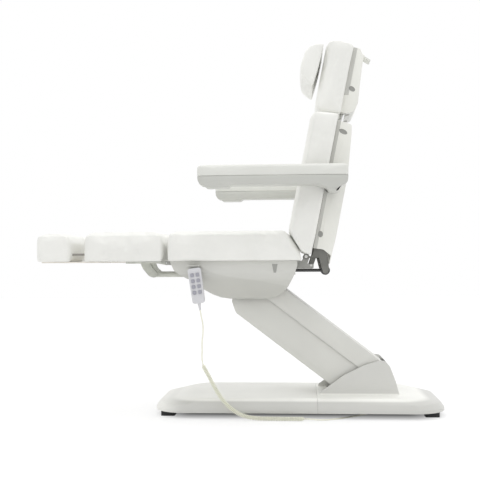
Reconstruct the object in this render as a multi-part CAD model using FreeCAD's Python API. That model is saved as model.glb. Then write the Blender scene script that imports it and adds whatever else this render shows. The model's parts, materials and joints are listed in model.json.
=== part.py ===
import FreeCAD, Part
import math
import os

# Podiatry chair: feet towards -X, head towards +X, Y = 0 is the plane of symmetry, +Z up, millimetres.
# Lengths are first laid out from the middle of the base. The origin then moves to the middle of
# everything on the floor, half way between the foot pads and the head end of the base.

Vector = FreeCAD.Vector

# Base
base_length = 1124.0
base_offset = -10.5
base_width = 500.0
base_shoulder_inset_x = 14.0
base_shoulder_inset_y = 6.0
base_shoulder_height = 54.0
base_plateau_inset_x = 112.0
base_plateau_inset_y = 28.0
base_height = 76.0
base_skirt_height = 22.0
base_side_height = 34.0
base_corner = 130.0
base_plateau_corner = 100.0
cover_wall = 4.0
cover_seam_x = 60.0
cover_seam_gap = 0.6
frame_plate = 8.0
frame_plate_height = 26.0
frame_inset = 30.0
frame_corner = 120.0
rail_height = 20.0
rail_width = 40.0
rail_spread = 280.0
rail_wall = 3.0
cover_post = 16.0
post_front_x = 96.0
post_rear_inset = 42.0
post_shares = [-0.434, -0.1085]
foot_length = 54.0
foot_width = 60.0
foot_inset_x = 52.0
foot_inset_y = 95.0
foot_corner = 8.0
gland_length = 30.0
gland_width = 16.0
gland_x = 292.0
gland_inset = 44.0
control_box_length = 190.0
control_box_width = 150.0
control_box_height = 26.0

# Lift arm: a parallelogram between the column bracket and the seat carrier
arm_pivot_x = 204.0
arm_pivot_z = 104.0
link_length = 540.0
link_rest_angle = 37.2
upper_pivot_dx = 73.0
upper_pivot_dz = 77.0
pin_radius = 9.0
running_gap = 0.05
bar_depth = 40.0
bar_thickness = 10.0
lower_bar_spread = 152.0
upper_bar_spread = 108.0
cross_tube_radius = 5.5
cross_tube_inset = 120.0
lower_cover_width = 222.0
upper_cover_width = 236.0
arm_cover_wall = 4.0
arm_below_pivot = 47.0
arm_above_pivot = 40.0
upper_cover_depth = 72.0
lower_cover_overlap = 22.0
lower_cover_tip = 50.0
lower_cover_tail = 62.0
upper_cover_tip = 20.0
upper_cover_tail = 30.0
arm_cover_round = 34.0
end_cap_length = 22.0
end_cap_depth = 26.0
cheek_thickness = 8.0
cheek_spread = 184.0
cheek_foot_length = 150.0
cheek_head_radius = 20.0
motor_radius = 28.0
motor_length = 300.0
rod_radius = 12.0
rod_end_gap = 26.0
column_half_width = 128.0
column_wall = 5.0
column_clearance_width = 242.0
column_slot_inset = 36.0
column_length = 312.0
column_height = 134.0

# Carrier and seat
carrier_thickness = 8.0
carrier_spread = 190.0
tilt_pivot_dx = 24.0
tilt_pivot_dz = 136.0
seat_front_reach = 281.0
seat_bottom_rise = 171.0
seat_length = 514.0
seat_width = 600.0
cushion_depth = 110.0
seat_rear_slope = 55.0
seat_rear_lip = 13.0
seat_rear_round = 14.0
cushion_round = 26.0
cushion_edge_round = 20.0
cushion_crown = 7.0
cushion_waist = 3.0
seat_rail_height = 20.0
seat_rail_width = 30.0
seat_frame_inset = 50.0
casing_front_gap = 10.0
casing_length = 484.0
casing_inset = 30.0
casing_depth = 148.0
casing_wall = 4.0
casing_foot_width = 300.0
casing_crease_depth = 62.0
casing_slot_width = 250.0
leg_slot_width = 200.0
leg_slot_depth = 190.0
recess_width = 22.0
recess_height = 56.0
recess_depth = 2.0
casing_groove_x = 85.0

# Back
back_hinge_dx = 14.0
back_hinge_dz = 15.0
back_lean = 11.2
back_height = 553.0
back_thickness = 100.0
back_foot_rise = 6.0
cushion_gap = 5.0
back_cover_depth = 77.0
back_cover_inset = 50.0
back_cover_wall = 4.0
back_cover_gap = 1.0
back_frame_gap = 2.3
back_rear_offset = 19.0
back_frame_tube = 11.0
back_frame_inset = 112.0
bracket_thickness = 6.0
bracket_gap = 4.0
lug_thickness = 6.0
lug_inset = 75.0
hinge_pin_radius = 6.0
strut_pivot_dx = 74.0
strut_pivot_dz = 53.0
cross_pin_radius = 10.0
strut_tube_radius = 17.0
strut_rod_radius = 6.0
strut_length = 290.0
strut_rod_show = 116.0
strut_eye_width = 30.0
strut_shift = 5.0

# Armrests
armrest_side_gap = 15.0
armrest_width = 90.0
armrest_length = 552.0
armrest_rear_reach = 60.0
armrest_depth = 34.0
armrest_pad_depth = 42.0
armrest_top_rise = 72.0
armrest_round = 14.0
hub_rise = 266.0
hub_reach = 94.0
hub_radius = 30.0
hub_gap = 2.0
armrest_shaft_radius = 14.0
hub_sleeve_radius = 17.0
crank_dx = 19.0
crank_dz = 34.0
crank_radius = 11.0
link_thickness = 6.0
link_pin_radius = 4.0
link_bar_width = 16.0
link_gap = 7.0

# Headrest
head_width = 340.0
head_height = 292.0
head_thickness = 102.0
head_front = -75.0
head_bottom_gap = 17.0
head_shell_width = 262.0
head_shell_depth = 54.0
head_round = 14.0
head_pivot_rise = 34.0
post_radius = 8.0
post_spread = 160.0
post_depth = 260.0
post_sleeve_radius = 12.0
post_back = 38.0
pillow_height = 176.0
pillow_depth = 90.0
pillow_length = 350.0
pillow_rise = 86.0
pillow_round = 50.0
strap_width = 60.0
lever_length = 25.0
lever_drop = 15.0
lever_thickness = 8.0
lever_width = 60.0
lever_pin_radius = 2.0

# Leg rests
leg_gap = 14.0
leg_length = 309.0
leg_split = 20.0
leg_hinge_rise = -7.0
leg_plate = 8.0
leg_plate_length = 250.0
leg_plate_inset = 55.0
leg_bracket_wall = 6.0
leg_bracket_width = 30.0
leg_bracket_offset = 60.0
leg_pivot_dx = 77.0
leg_pivot_dz = 46.0
gas_tube_radius = 11.0
gas_tube_length = 150.0
gas_eye_radius = 15.0
foot_gap = 49.0
foot_length_x = 130.0
foot_plate = 5.0
foot_plate_reach = 110.0
foot_plate_width = 200.0
slide_rod_radius = 4.0
slide_rod_spread = 190.0
slide_rod_rise = 27.0
slide_rod_reach = 170.0
leg_step = 1.0
foot_step = 4.0

# Handset
handset_length = 134.0
handset_width = 50.0
handset_depth = 24.0
handset_lean = 8.0
handset_top_inset = 104.0
handset_top_drop = 27.0
handset_corner = 9.0
holder_gap = 4.0
holder_length = 46.0
holder_depth = 14.0
button_width = 13.0
button_height = 13.0
button_rise = 3.0
button_sink = 4.0
button_gap = 0.3
button_column_pitch = 21.0
button_row_pitch = 22.0
button_first_row = 26.0
button_corner = 3.0
button_rows = 4
boot_length = 26.0
boot_radius = 6.5

# Cord: millimetres from the middle of the base, chosen by hand
lead_diameter = 5.5
curl_wire = 4.4
curl_outside = 17.0
curl_count = 80
steps_per_turn = 4
lead_route = [
    (-380.8, -286.0, 416.1), (-377.8, -286.0, 394.9), (-370.5, -285.0, 364.0), (-369.5, -287.0, 330.0),
    (-374.5, -288.0, 296.0), (-373.5, -285.5, 264.0), (-375.5, -284.0, 238.0), (-373.5, -284.0, 222.0),
]
curl_route = [
    (-371.0, -284.0, 205.0), (-353.0, -284.0, 176.0), (-335.0, -284.0, 140.0), (-315.0, -284.0, 104.0),
    (-291.0, -284.0, 70.0), (-262.0, -284.0, 42.0), (-224.0, -284.0, 19.0), (-176.0, -284.0, 9.6),
    (-116.0, -284.0, 8.9), (-62.0, -284.0, 8.6), (-14.0, -284.0, 8.9),
]
floor_route = [
    (22.0, -284.0, 8.5), (34.0, -284.0, 8.3), (58.0, -281.0, 5.2), (92.0, -268.0, 2.9),
    (128.0, -246.0, 2.8), (166.0, -218.0, 2.9), (204.0, -192.0, 5.0), (238.0, -178.5, 9.5),
    (262.0, -176.0, 13.6), (277.0, -176.0, 13.6),
]

# Where the pieces meet
seat_clearance = 0.3
lead_clearance = 0.4
overrun = 20.0
tolerance = 1e-6
small_step = 1e-4
corner_share = 0.45

lower_seat_pivot_x = arm_pivot_x - link_length * math.cos(math.radians(link_rest_angle))
lower_seat_pivot_z = arm_pivot_z + link_length * math.sin(math.radians(link_rest_angle))
upper_base_pivot = (arm_pivot_x + upper_pivot_dx, arm_pivot_z + upper_pivot_dz)
upper_seat_pivot = (lower_seat_pivot_x + upper_pivot_dx, lower_seat_pivot_z + upper_pivot_dz)
lower_base_pivot = (arm_pivot_x, arm_pivot_z)
lower_seat_pivot = (lower_seat_pivot_x, lower_seat_pivot_z)
seat_front = lower_seat_pivot_x - seat_front_reach
seat_rear = seat_front + seat_length
seat_bottom = lower_seat_pivot_z + seat_bottom_rise
seat_top = seat_bottom + cushion_depth
tilt_pivot = (lower_seat_pivot_x + tilt_pivot_dx, lower_seat_pivot_z + tilt_pivot_dz)
back_hinge = (seat_rear + back_hinge_dx - seat_clearance, seat_bottom + back_hinge_dz)
strut_pivot = (back_hinge[0] + strut_pivot_dx, back_hinge[1] - strut_pivot_dz)
hub_pivot = (back_hinge[0] + hub_reach, back_hinge[1] + hub_rise)
leg_rear = seat_front - leg_gap - seat_clearance
leg_hinge = (seat_front - leg_gap / 2, seat_bottom + leg_hinge_rise)
leg_pivot = (leg_hinge[0] - leg_pivot_dx, leg_hinge[1] - leg_pivot_dz)
leg_front = leg_rear - leg_length
foot_rear = leg_front - foot_gap
foot_front = foot_rear - foot_length_x
origin_x = (foot_front + base_offset + base_length / 2) / 2
base_shoulder_length = base_length - 2 * base_shoulder_inset_x
base_shoulder_width = base_width - 2 * base_shoulder_inset_y
base_plateau_length = base_length - 2 * base_plateau_inset_x
base_plateau_width = base_width - 2 * base_plateau_inset_y
frame_length = base_length - 2 * frame_inset
frame_width = base_width - 2 * frame_inset
foot_spread_x = base_length - 2 * foot_inset_x
foot_spread_y = base_width - 2 * foot_inset_y
gland_y = frame_width / 2 - gland_inset
frame_top = frame_plate_height + frame_plate
seat_frame_width = seat_width - 2 * seat_frame_inset
casing_width = seat_width - 2 * casing_inset
back_cover_width = seat_width - 2 * back_cover_inset
back_frame_spread = seat_width - 2 * back_frame_inset
lug_spread = seat_width - 2 * lug_inset
bracket_spread = lug_spread + lug_thickness + 2 * bracket_gap + bracket_thickness
link_spread = lug_spread - lug_thickness - 2 * link_gap - link_thickness
armrest_spacing = seat_width + 2 * armrest_side_gap + armrest_width
leg_width = (seat_width - leg_split) / 2
leg_plate_width = leg_width - 2 * leg_plate_inset
strut_y = -(lug_spread + carrier_spread) / 4 - strut_shift
post_rear_x = base_plateau_length / 2 - post_rear_inset
rail_length = 2 * post_rear_x + cover_post
handset_y = -casing_width / 2 - holder_gap - handset_depth / 2
casing_front = seat_front + casing_front_gap
casing_rear = casing_front + casing_length
casing_foot = seat_bottom - casing_depth


def lean_point(start, rise, back, lean):
    """The point that lies rise along a line leaning back by lean degrees, and back square to it."""
    angle = math.radians(lean)
    x = start[0] + rise * math.sin(angle) + back * math.cos(angle)
    return (x, start[1] + rise * math.cos(angle) - back * math.sin(angle))


def inset_points(points, distances):
    """A convex outline with each side moved inwards by its own distance; side i starts at point i."""
    count = len(points)
    area = sum(points[i - 1][0] * points[i][1] - points[i][0] * points[i - 1][1] for i in range(count))
    turn = 1 if area > 0 else -1
    moved = []
    for i in range(count):
        (x0, z0), (x1, z1) = points[i], points[(i + 1) % count]
        length = math.hypot(x1 - x0, z1 - z0)
        nx, nz = -turn * (z1 - z0) / length, turn * (x1 - x0) / length
        moved.append((x0 + nx * distances[i], z0 + nz * distances[i], x1 - x0, z1 - z0))
    corners = []
    for i in range(count):
        ax, az, adx, adz = moved[i - 1]
        bx, bz, bdx, bdz = moved[i]
        cross = adx * bdz - adz * bdx
        share = ((bx - ax) * bdz - (bz - az) * bdx) / cross
        corners.append((ax + adx * share, az + adz * share))
    return corners


def rounded_edges(points, radii):
    """Lines and tangent arcs of a closed outline; a radius is limited by the sides beside it."""
    count = len(points)
    starts = []
    for i in range(count):
        p = Vector(*points[i])
        before = Vector(*points[i - 1]) - p
        after = Vector(*points[(i + 1) % count]) - p
        radius = radii[i] if isinstance(radii, (list, tuple)) else radii
        half = before.getAngle(after) / 2
        trim = min(radius / math.tan(half), before.Length * corner_share, after.Length * corner_share)
        radius = trim * math.tan(half)
        before.normalize()
        after.normalize()
        middle = before + after
        middle.normalize()
        rise = radius / math.sin(half) - radius
        starts.append((p + before * trim, p + middle * rise, p + after * trim))
    edges = []
    for i in range(count):
        first, mid, last = starts[i]
        following = starts[(i + 1) % count][0]
        if (last - first).Length > tolerance:
            edges.append(Part.Arc(first, mid, last).toShape())
        edges.append(Part.LineSegment(last, following).toShape())
    return edges


def side_wire(points, radii, y):
    return Part.Wire(rounded_edges([(x, y, z) for x, z in points], radii))


def slab(points, radii, y_low, y_high):
    """A side outline (x, z) with rounded corners, from y_low to y_high."""
    face = Part.Face(side_wire(points, radii, y_low))
    return face.extrude(Vector(0, y_high - y_low, 0))


def centred_slab(points, radii, width):
    return slab(points, radii, -width / 2, width / 2)


def sharp_slab(points, width):
    corners = [Vector(x, -width / 2, z) for x, z in points]
    return Part.Face(Part.makePolygon(corners + corners[:1])).extrude(Vector(0, width, 0))


def box(x_low, x_high, y_low, y_high, z_low, z_high):
    size = (x_high - x_low, y_high - y_low, z_high - z_low)
    return Part.makeBox(*size, Vector(x_low, y_low, z_low))


def cross_cylinder(centre, radius, y_low, y_high):
    return Part.makeCylinder(radius, y_high - y_low, Vector(centre[0], y_low, centre[1]), Vector(0, 1, 0))


def rod_between(start, end, radius, y=0.0):
    direction = Vector(end[0] - start[0], 0, end[1] - start[1])
    return Part.makeCylinder(radius, direction.Length, Vector(start[0], y, start[1]), direction)


def bar_outline(start, end, width):
    """A flat bar's outline with a full round at each end, as a four-sided outline and its radius."""
    dx, dz = end[0] - start[0], end[1] - start[1]
    length = math.hypot(dx, dz)
    ux, uz = dx / length, dz / length
    half = width / 2
    low = (start[0] - ux * half, start[1] - uz * half)
    high = (end[0] + ux * half, end[1] + uz * half)
    return [
        (low[0] + uz * half, low[1] - ux * half), (high[0] + uz * half, high[1] - ux * half),
        (high[0] - uz * half, high[1] + ux * half), (low[0] - uz * half, low[1] + ux * half),
    ]


def flat_bar(start, end, width, y_low, y_high):
    round_share = 0.98
    return slab(bar_outline(start, end, width), width / 2 * round_share, y_low, y_high)


def scaled(shares, size):
    return [share * size for share in shares]


def less(radii, wall):
    """The corner radii inside a wall."""
    return [max(radius - wall, 0) for radius in radii]


def fuse(shapes):
    whole = shapes[0].multiFuse(shapes[1:]) if len(shapes) > 1 else shapes[0]
    return whole.removeSplitter()


def from_shares(shares, x, z, length, height):
    return [(x + a * length, z + b * height) for a, b in shares]


def padded_block(points, radii, y_low, y_high, crowned=(), waisted=(), edge=cushion_edge_round):
    """A cushion lofted across its width: rounded edges, a crown on some sides, others drawn in."""
    middle, half = (y_low + y_high) / 2, (y_high - y_low) / 2
    count = len(points)
    edge_angles = (0, 22.5, 45, 67.5, 90)
    stations = []
    for degrees in edge_angles:
        angle = math.radians(degrees)
        distances = [edge * (1 - math.sin(angle))] * count
        stations.append((half - edge * (1 - math.cos(angle)), distances))
    full = [0] * count
    for i in crowned:
        full[i] = -cushion_crown
    for i in waisted:
        full[i] = cushion_waist
    for along_share, swell_share in ((0.85, 0.35), (0.6, 0.72), (0.3, 0.94), (0.0, 1.0)):
        stations.append(((half - edge) * along_share, [d * swell_share for d in full]))
    order = [(-y, d) for y, d in stations] + [(y, d) for y, d in reversed(stations[:-1])]
    wires = [side_wire(inset_points(points, d), radii, middle + y) for y, d in order]
    return Part.makeLoft(wires, True, True)


nodes = {}


def keep(name, shape):
    nodes[name] = shape


# Base

def plan_wire(length, width, corner, z):
    shares = [(-0.5, -0.5), (0.5, -0.5), (0.5, 0.5), (-0.5, 0.5)]
    return Part.Wire(rounded_edges([(base_offset + a * length, b * width, z) for a, b in shares], corner))


def base_body(wall):
    """The solid outline of the base covers, made smaller by a wall."""
    lift = cover_seam_gap if wall else 0
    length, width = base_length - 2 * wall, base_width - 2 * wall
    corner = base_corner - wall
    sections = [
        plan_wire(length, width, corner, base_skirt_height - lift),
        plan_wire(length, width, corner, base_side_height - wall / 2),
        plan_wire(base_shoulder_length - 2 * wall, base_shoulder_width - 2 * wall, corner,
                  base_shoulder_height - wall),
        plan_wire(base_plateau_length - wall, base_plateau_width - wall, base_plateau_corner,
                  base_height - wall),
    ]
    return Part.makeLoft(sections, True, True)


def half_space(x_low, x_high):
    return box(x_low, x_high, -base_width, base_width, -overrun, seat_bottom)


column_foot_x = cover_seam_x + overrun / 2
column_shares = [
    (0.0, -0.2), (0.0, 0.06), (0.119, 0.254), (0.32, 0.59), (0.57, 0.873), (0.756, 1.0),
    (0.82, 0.985), (0.88, 0.83), (0.952, 0.38), (1.0, -0.05), (1.0, -0.2),
]
column_radius_shares = [0, 0.1, 0.4, 0.6, 0.6, 0.2, 0.12, 0.3, 0.4, 0.1, 0]


def column_outline():
    return from_shares(column_shares, column_foot_x, base_height, column_length, column_height)


def make_base():
    outline = plan_wire(frame_length, frame_width, frame_corner, frame_plate_height)
    plate = Part.Face(outline).extrude(Vector(0, 0, frame_plate))
    rails = []
    for side in (-1, 1):
        y = side * rail_spread / 2
        end, half = rail_length / 2, rail_width / 2
        rail = box(-end, end, y - half, y + half, frame_top, frame_top + rail_height)
        hollow = box(-end, end, y - half + rail_wall, y + half - rail_wall,
                     frame_top + rail_wall, frame_top + rail_height - rail_wall)
        rails.append(rail.cut(hollow))
    posts = []
    for x in (*scaled(post_shares, rail_length), post_front_x, post_rear_x):
        for side in (-1, 1):
            y = side * rail_spread / 2
            posts.append(box(x - cover_post / 2, x + cover_post / 2, y - cover_post / 2, y + cover_post / 2,
                             frame_top + rail_height, base_height - cover_wall))
    gland = box(gland_x - gland_length / 2, gland_x + gland_length / 2, -gland_y - gland_width / 2,
                -gland_y + gland_width / 2, frame_plate_height - gland_width, frame_plate_height)
    keep("base_frame", fuse([plate, *rails, *posts, gland]))

    shell = base_body(0).cut(base_body(cover_wall))
    keep("base_front_cover", shell.common(half_space(-base_length, cover_seam_x)))
    slot_length = column_length - 2 * column_wall
    column = centred_slab(column_outline(), scaled(column_radius_shares, column_height),
                          2 * column_half_width)
    column = column.common(half_space(-base_length, base_length).common(
        box(-base_length, base_length, -base_width, base_width, base_height - cover_wall, seat_bottom)))
    inside = inset_points(column_outline()[-6:], [column_wall] * 6)
    slot_front = column_foot_x + column_slot_inset
    hollow = sharp_slab([
        (column_foot_x - overrun, base_height), (column_foot_x - overrun, seat_bottom),
        (inside[2][0], seat_bottom), *inside[2:5], (column_foot_x + slot_length, base_skirt_height),
        (slot_front, base_skirt_height), (slot_front, base_height),
    ], column_clearance_width)
    rear = shell.common(half_space(cover_seam_x + cover_seam_gap, base_length))
    keep("base_rear_cover", fuse([rear, column]).cut(hollow))

    feet = []
    for x in (base_offset - foot_spread_x / 2, base_offset + foot_spread_x / 2):
        for y in (-foot_spread_y / 2, foot_spread_y / 2):
            points = [(x - foot_length / 2, y - foot_width / 2), (x + foot_length / 2, y - foot_width / 2),
                      (x + foot_length / 2, y + foot_width / 2), (x - foot_length / 2, y + foot_width / 2)]
            wire = Part.Wire(rounded_edges([(a, b, 0) for a, b in points], foot_corner))
            feet.append(Part.Face(wire).extrude(Vector(0, 0, frame_plate_height)))
    keep("base_feet", Part.makeCompound(feet))

    foot = (arm_pivot_x - cheek_foot_length / 4, frame_top)
    top = upper_base_pivot
    cheek_points = [
        foot, (foot[0] + cheek_foot_length, frame_top),
        (top[0] + cheek_head_radius, top[1] - cheek_head_radius),
        (top[0] + cheek_head_radius, top[1] + cheek_head_radius * 0.8),
        (top[0] - cheek_head_radius * 0.6, top[1] + cheek_head_radius * 0.8),
        (foot[0], lower_base_pivot[1] + cheek_head_radius * 0.6),
    ]
    cheeks = []
    for side in (-1, 1):
        y = side * cheek_spread / 2
        cheek = slab(cheek_points, cheek_head_radius / 2, y - cheek_thickness / 2, y + cheek_thickness / 2)
        for pivot in (lower_base_pivot, upper_base_pivot):
            cheek = cheek.cut(cross_cylinder(pivot, pin_radius, y - overrun, y + overrun))
        cheeks.append(cheek)
    floor_bar = box(foot[0], foot[0] + cheek_foot_length, -cheek_spread / 2, cheek_spread / 2,
                    frame_top, frame_top + cheek_thickness)
    keep("column_bracket", fuse([*cheeks, floor_bar]))
    pin_half = cheek_spread / 2 + cheek_thickness / 2
    pivots = (lower_base_pivot, upper_base_pivot)
    pins = [cross_cylinder(pivot, pin_radius, -pin_half, pin_half) for pivot in pivots]
    keep("lift_pins", Part.makeCompound(pins))
    box_x = -base_plateau_length / 4
    keep("control_box", box(
        box_x - control_box_length / 2, box_x + control_box_length / 2, -control_box_width / 2,
        control_box_width / 2, frame_top, frame_top + control_box_height))


# Lift arm

def along_arm(start, distance, height):
    """A point measured down the arm from one of its pivots, and square to the arm."""
    angle = math.radians(link_rest_angle)
    x = start[0] + distance * math.cos(angle) + height * math.sin(angle)
    return (x, start[1] - distance * math.sin(angle) + height * math.cos(angle))


def make_link(seat_end, base_end, spread):
    bars = []
    hole = pin_radius + running_gap
    for side in (-1, 1):
        y = side * spread / 2
        bar = flat_bar(seat_end, base_end, bar_depth, y - bar_thickness / 2, y + bar_thickness / 2)
        for pivot in (seat_end, base_end):
            bar = bar.cut(cross_cylinder(pivot, hole, y - overrun, y + overrun))
        bars.append(bar)
    return bars


def arm_offset():
    """How far the upper link's line lies above the lower link's, square to the arm."""
    angle = math.radians(link_rest_angle)
    return upper_pivot_dx * math.sin(angle) + upper_pivot_dz * math.cos(angle)


arm_cover_radius_shares = [1, 0.12, 0.7, 1, 0.12, 0.6, 0.3, 0.3]


def make_arm():
    lower = make_link(lower_seat_pivot, lower_base_pivot, lower_bar_spread)
    inner_half = lower_cover_width / 2 - arm_cover_wall
    ends = ((lower_seat_pivot, cross_tube_inset), (lower_base_pivot, -cross_tube_inset * 1.3))
    for end, distance in ends:
        tie = along_arm(end, distance, -bar_depth / 4)
        lower.append(cross_cylinder(tie, cross_tube_radius, -inner_half, inner_half))
    keep("lower_link", fuse(lower))
    upper = make_link(upper_seat_pivot, upper_base_pivot, upper_bar_spread)
    inner_half = upper_cover_width / 2 - arm_cover_wall
    for end, distance in ((upper_base_pivot, -cross_tube_inset), (upper_seat_pivot, cross_tube_inset)):
        tie = along_arm(end, distance, bar_depth / 4)
        upper.append(cross_cylinder(tie, cross_tube_radius, -inner_half, inner_half))
    keep("upper_link", fuse(upper))

    rise = arm_offset() + arm_above_pivot
    split = rise - upper_cover_depth
    top = split + lower_cover_overlap
    points = [
        along_arm(lower_seat_pivot, lower_cover_tip, top),
        along_arm(lower_seat_pivot, -lower_cover_tip, arm_below_pivot * 0.2),
        along_arm(lower_seat_pivot, -lower_cover_tip, -arm_below_pivot * 0.35),
        along_arm(lower_seat_pivot, -lower_cover_tip * 0.1, -arm_below_pivot),
        along_arm(lower_base_pivot, -lower_cover_tail, -arm_below_pivot),
        along_arm(lower_base_pivot, 0, -arm_below_pivot * 0.4),
        along_arm(lower_base_pivot, lower_cover_tail * 0.5, 0),
        along_arm(lower_base_pivot, lower_cover_tail * 0.5, top),
    ]
    soft = arm_cover_round
    outer = centred_slab(points, scaled(arm_cover_radius_shares, soft), lower_cover_width)
    wall = arm_cover_wall
    inner_points = [
        along_arm(lower_seat_pivot, lower_cover_tip - wall, top + overrun),
        along_arm(lower_seat_pivot, -lower_cover_tip + wall, arm_below_pivot * 0.2 + 2 * overrun),
        along_arm(lower_seat_pivot, -lower_cover_tip + wall, -arm_below_pivot * 0.35 + wall / 2),
        along_arm(lower_seat_pivot, -lower_cover_tip * 0.1, -arm_below_pivot + wall),
        along_arm(lower_base_pivot, -lower_cover_tail, -arm_below_pivot + wall),
        along_arm(lower_base_pivot, lower_cover_tail, -arm_below_pivot),
        along_arm(lower_base_pivot, lower_cover_tail, top + overrun),
    ]
    inner = centred_slab(inner_points, [0, 0, soft * 0.6, soft, 0, 0, 0], lower_cover_width - 2 * wall)
    keep("lower_arm_cover", outer.cut(inner))

    drop = upper_cover_depth - arm_above_pivot
    points = [
        along_arm(upper_seat_pivot, -upper_cover_tip, 0),
        along_arm(upper_seat_pivot, -upper_cover_tip, -drop),
        along_arm(upper_base_pivot, upper_cover_tail, -drop),
        along_arm(upper_base_pivot, upper_cover_tail, arm_above_pivot),
        along_arm(upper_seat_pivot, upper_cover_tip, arm_above_pivot),
    ]
    outer = centred_slab(points, [wall, wall, wall, wall, wall], upper_cover_width)
    inner_points = [
        along_arm(upper_seat_pivot, -3 * upper_cover_tip, -drop - overrun),
        along_arm(upper_base_pivot, 3 * upper_cover_tail, -drop - overrun),
        along_arm(upper_base_pivot, 3 * upper_cover_tail, arm_above_pivot - wall),
        along_arm(upper_seat_pivot, -3 * upper_cover_tip, arm_above_pivot - wall),
    ]
    inner = centred_slab(inner_points, [0, 0, wall, 0], upper_cover_width - 2 * wall)
    keep("upper_arm_cover", outer.cut(inner))
    cap = [
        along_arm(upper_base_pivot, upper_cover_tail, arm_above_pivot - wall),
        along_arm(upper_base_pivot, upper_cover_tail, arm_above_pivot - end_cap_depth),
        along_arm(upper_base_pivot, upper_cover_tail + end_cap_length / 2, arm_above_pivot - end_cap_depth),
        along_arm(upper_base_pivot, upper_cover_tail + end_cap_length, arm_above_pivot - end_cap_depth / 3),
    ]
    keep("arm_end_cap", centred_slab(cap, [0, 0, wall, wall], upper_cover_width - 2 * wall))

    reach = math.hypot(upper_seat_pivot[0] - lower_base_pivot[0], upper_seat_pivot[1] - lower_base_pivot[1])
    ux = (upper_seat_pivot[0] - lower_base_pivot[0]) / reach
    uz = (upper_seat_pivot[1] - lower_base_pivot[1]) / reach

    def on_motor(distance):
        return (lower_base_pivot[0] + ux * distance, lower_base_pivot[1] + uz * distance)

    neck = motor_radius * 1.6
    body = rod_between(on_motor(neck), on_motor(neck + motor_length), motor_radius)
    eye_end = on_motor(neck + motor_radius)
    eye = flat_bar(lower_base_pivot, eye_end, bar_depth, -bar_thickness, bar_thickness)
    bore = rod_between(
        on_motor(neck + motor_radius), on_motor(neck + motor_length + overrun), rod_radius + running_gap)
    body = fuse([body, eye]).cut(bore)
    body = body.cut(cross_cylinder(lower_base_pivot, pin_radius + running_gap, -overrun, overrun))
    keep("lift_motor", body)
    rod_start = neck + motor_length / 2
    keep("lift_rod", rod_between(on_motor(rod_start), on_motor(reach - rod_end_gap), rod_radius))


# Carrier and seat

def make_carrier():
    plates = []
    margin = bar_depth / 2
    points = [
        (lower_seat_pivot[0] - margin, lower_seat_pivot[1] - margin),
        (lower_seat_pivot[0] + margin, lower_seat_pivot[1] - margin),
        (upper_seat_pivot[0] + margin, upper_seat_pivot[1] - margin / 2),
        (upper_seat_pivot[0] + margin / 2, upper_seat_pivot[1] + margin),
        (tilt_pivot[0] + margin, tilt_pivot[1] + margin / 2),
        (tilt_pivot[0] - margin, tilt_pivot[1] + margin / 2),
    ]
    for side in (-1, 1):
        y = side * carrier_spread / 2
        plate = slab(points, margin / 2, y - carrier_thickness / 2, y + carrier_thickness / 2)
        plates.append(plate.cut(
            cross_cylinder(tilt_pivot, hinge_pin_radius + running_gap, y - overrun, y + overrun)))
    half = carrier_spread / 2
    pivots = (lower_seat_pivot, upper_seat_pivot)
    pins = [cross_cylinder(pivot, pin_radius, -half, half) for pivot in pivots]
    keep("seat_carrier", fuse(plates + pins))


casing_shares = [
    (0.0, 0.0), (0.0, -0.03), (0.03, -0.24), (0.073, -0.35), (0.128, -0.45), (0.145, -0.47),
    (0.26, -0.76), (0.32, -0.88), (0.38, -0.96), (0.455, -1.0), (0.73, -1.0), (0.83, -0.95),
    (0.875, -0.85), (0.925, -0.68), (0.955, -0.5), (0.98, -0.33), (1.0, -0.13), (1.0, 0.0),
]
casing_radius_shares = [
    0, 0.2, 0.4, 0.4, 0.3, 0.3, 0.8, 0.8, 0.8, 0.5, 0.8, 0.6, 0.6, 0.6, 0.6, 0.6, 0.5, 0,
]


def casing_body(wall):
    """The outline of the seat casing: its side view cut by its end view, made smaller by a wall."""
    rim = seat_bottom - seat_clearance
    points = from_shares(casing_shares, casing_front, rim, casing_length, casing_depth)
    radii = scaled(casing_radius_shares, casing_depth * 0.3)
    if wall:
        length, depth = casing_length - 2 * wall, casing_depth - wall
        rim = seat_bottom - seat_clearance * depth / casing_depth
        points = from_shares(casing_shares, casing_front + wall, rim, length, depth)
        points[0] = (points[0][0], seat_bottom + overrun)
        points[-1] = (points[-1][0], seat_bottom + overrun)
    side = centred_slab(points, radii, casing_width - 2 * wall)
    half_top, half_foot = casing_width / 2 - wall, casing_foot_width / 2 - wall
    crease = seat_bottom - casing_crease_depth
    foot = casing_foot + wall
    outline = [
        (-half_foot, foot - overrun), (half_foot, foot - overrun), (half_foot, foot), (half_top, crease),
        (half_top, seat_bottom + 2 * overrun), (-half_top, seat_bottom + 2 * overrun), (-half_top, crease),
        (-half_foot, foot),
    ]
    corners = [(casing_front - overrun, y, z) for y, z in outline]
    soft = casing_crease_depth
    wire = Part.Wire(rounded_edges(corners, [0, 0, soft / 2, soft, 0, 0, soft, soft / 2]))
    end = Part.Face(wire).extrude(Vector(casing_length + 2 * overrun, 0, 0))
    return side.common(end)


lug_radius_shares = [0, 0.25, 0.5, 0.4, 0.2, 0.4, 0.65, 0.25, 0]
ear_radius_shares = [0.35, 0.5, 0, 0, 0, 0.12]
arm_radius_shares = [0.25, 0.5, 0, 0, 0, 0.15]


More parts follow.
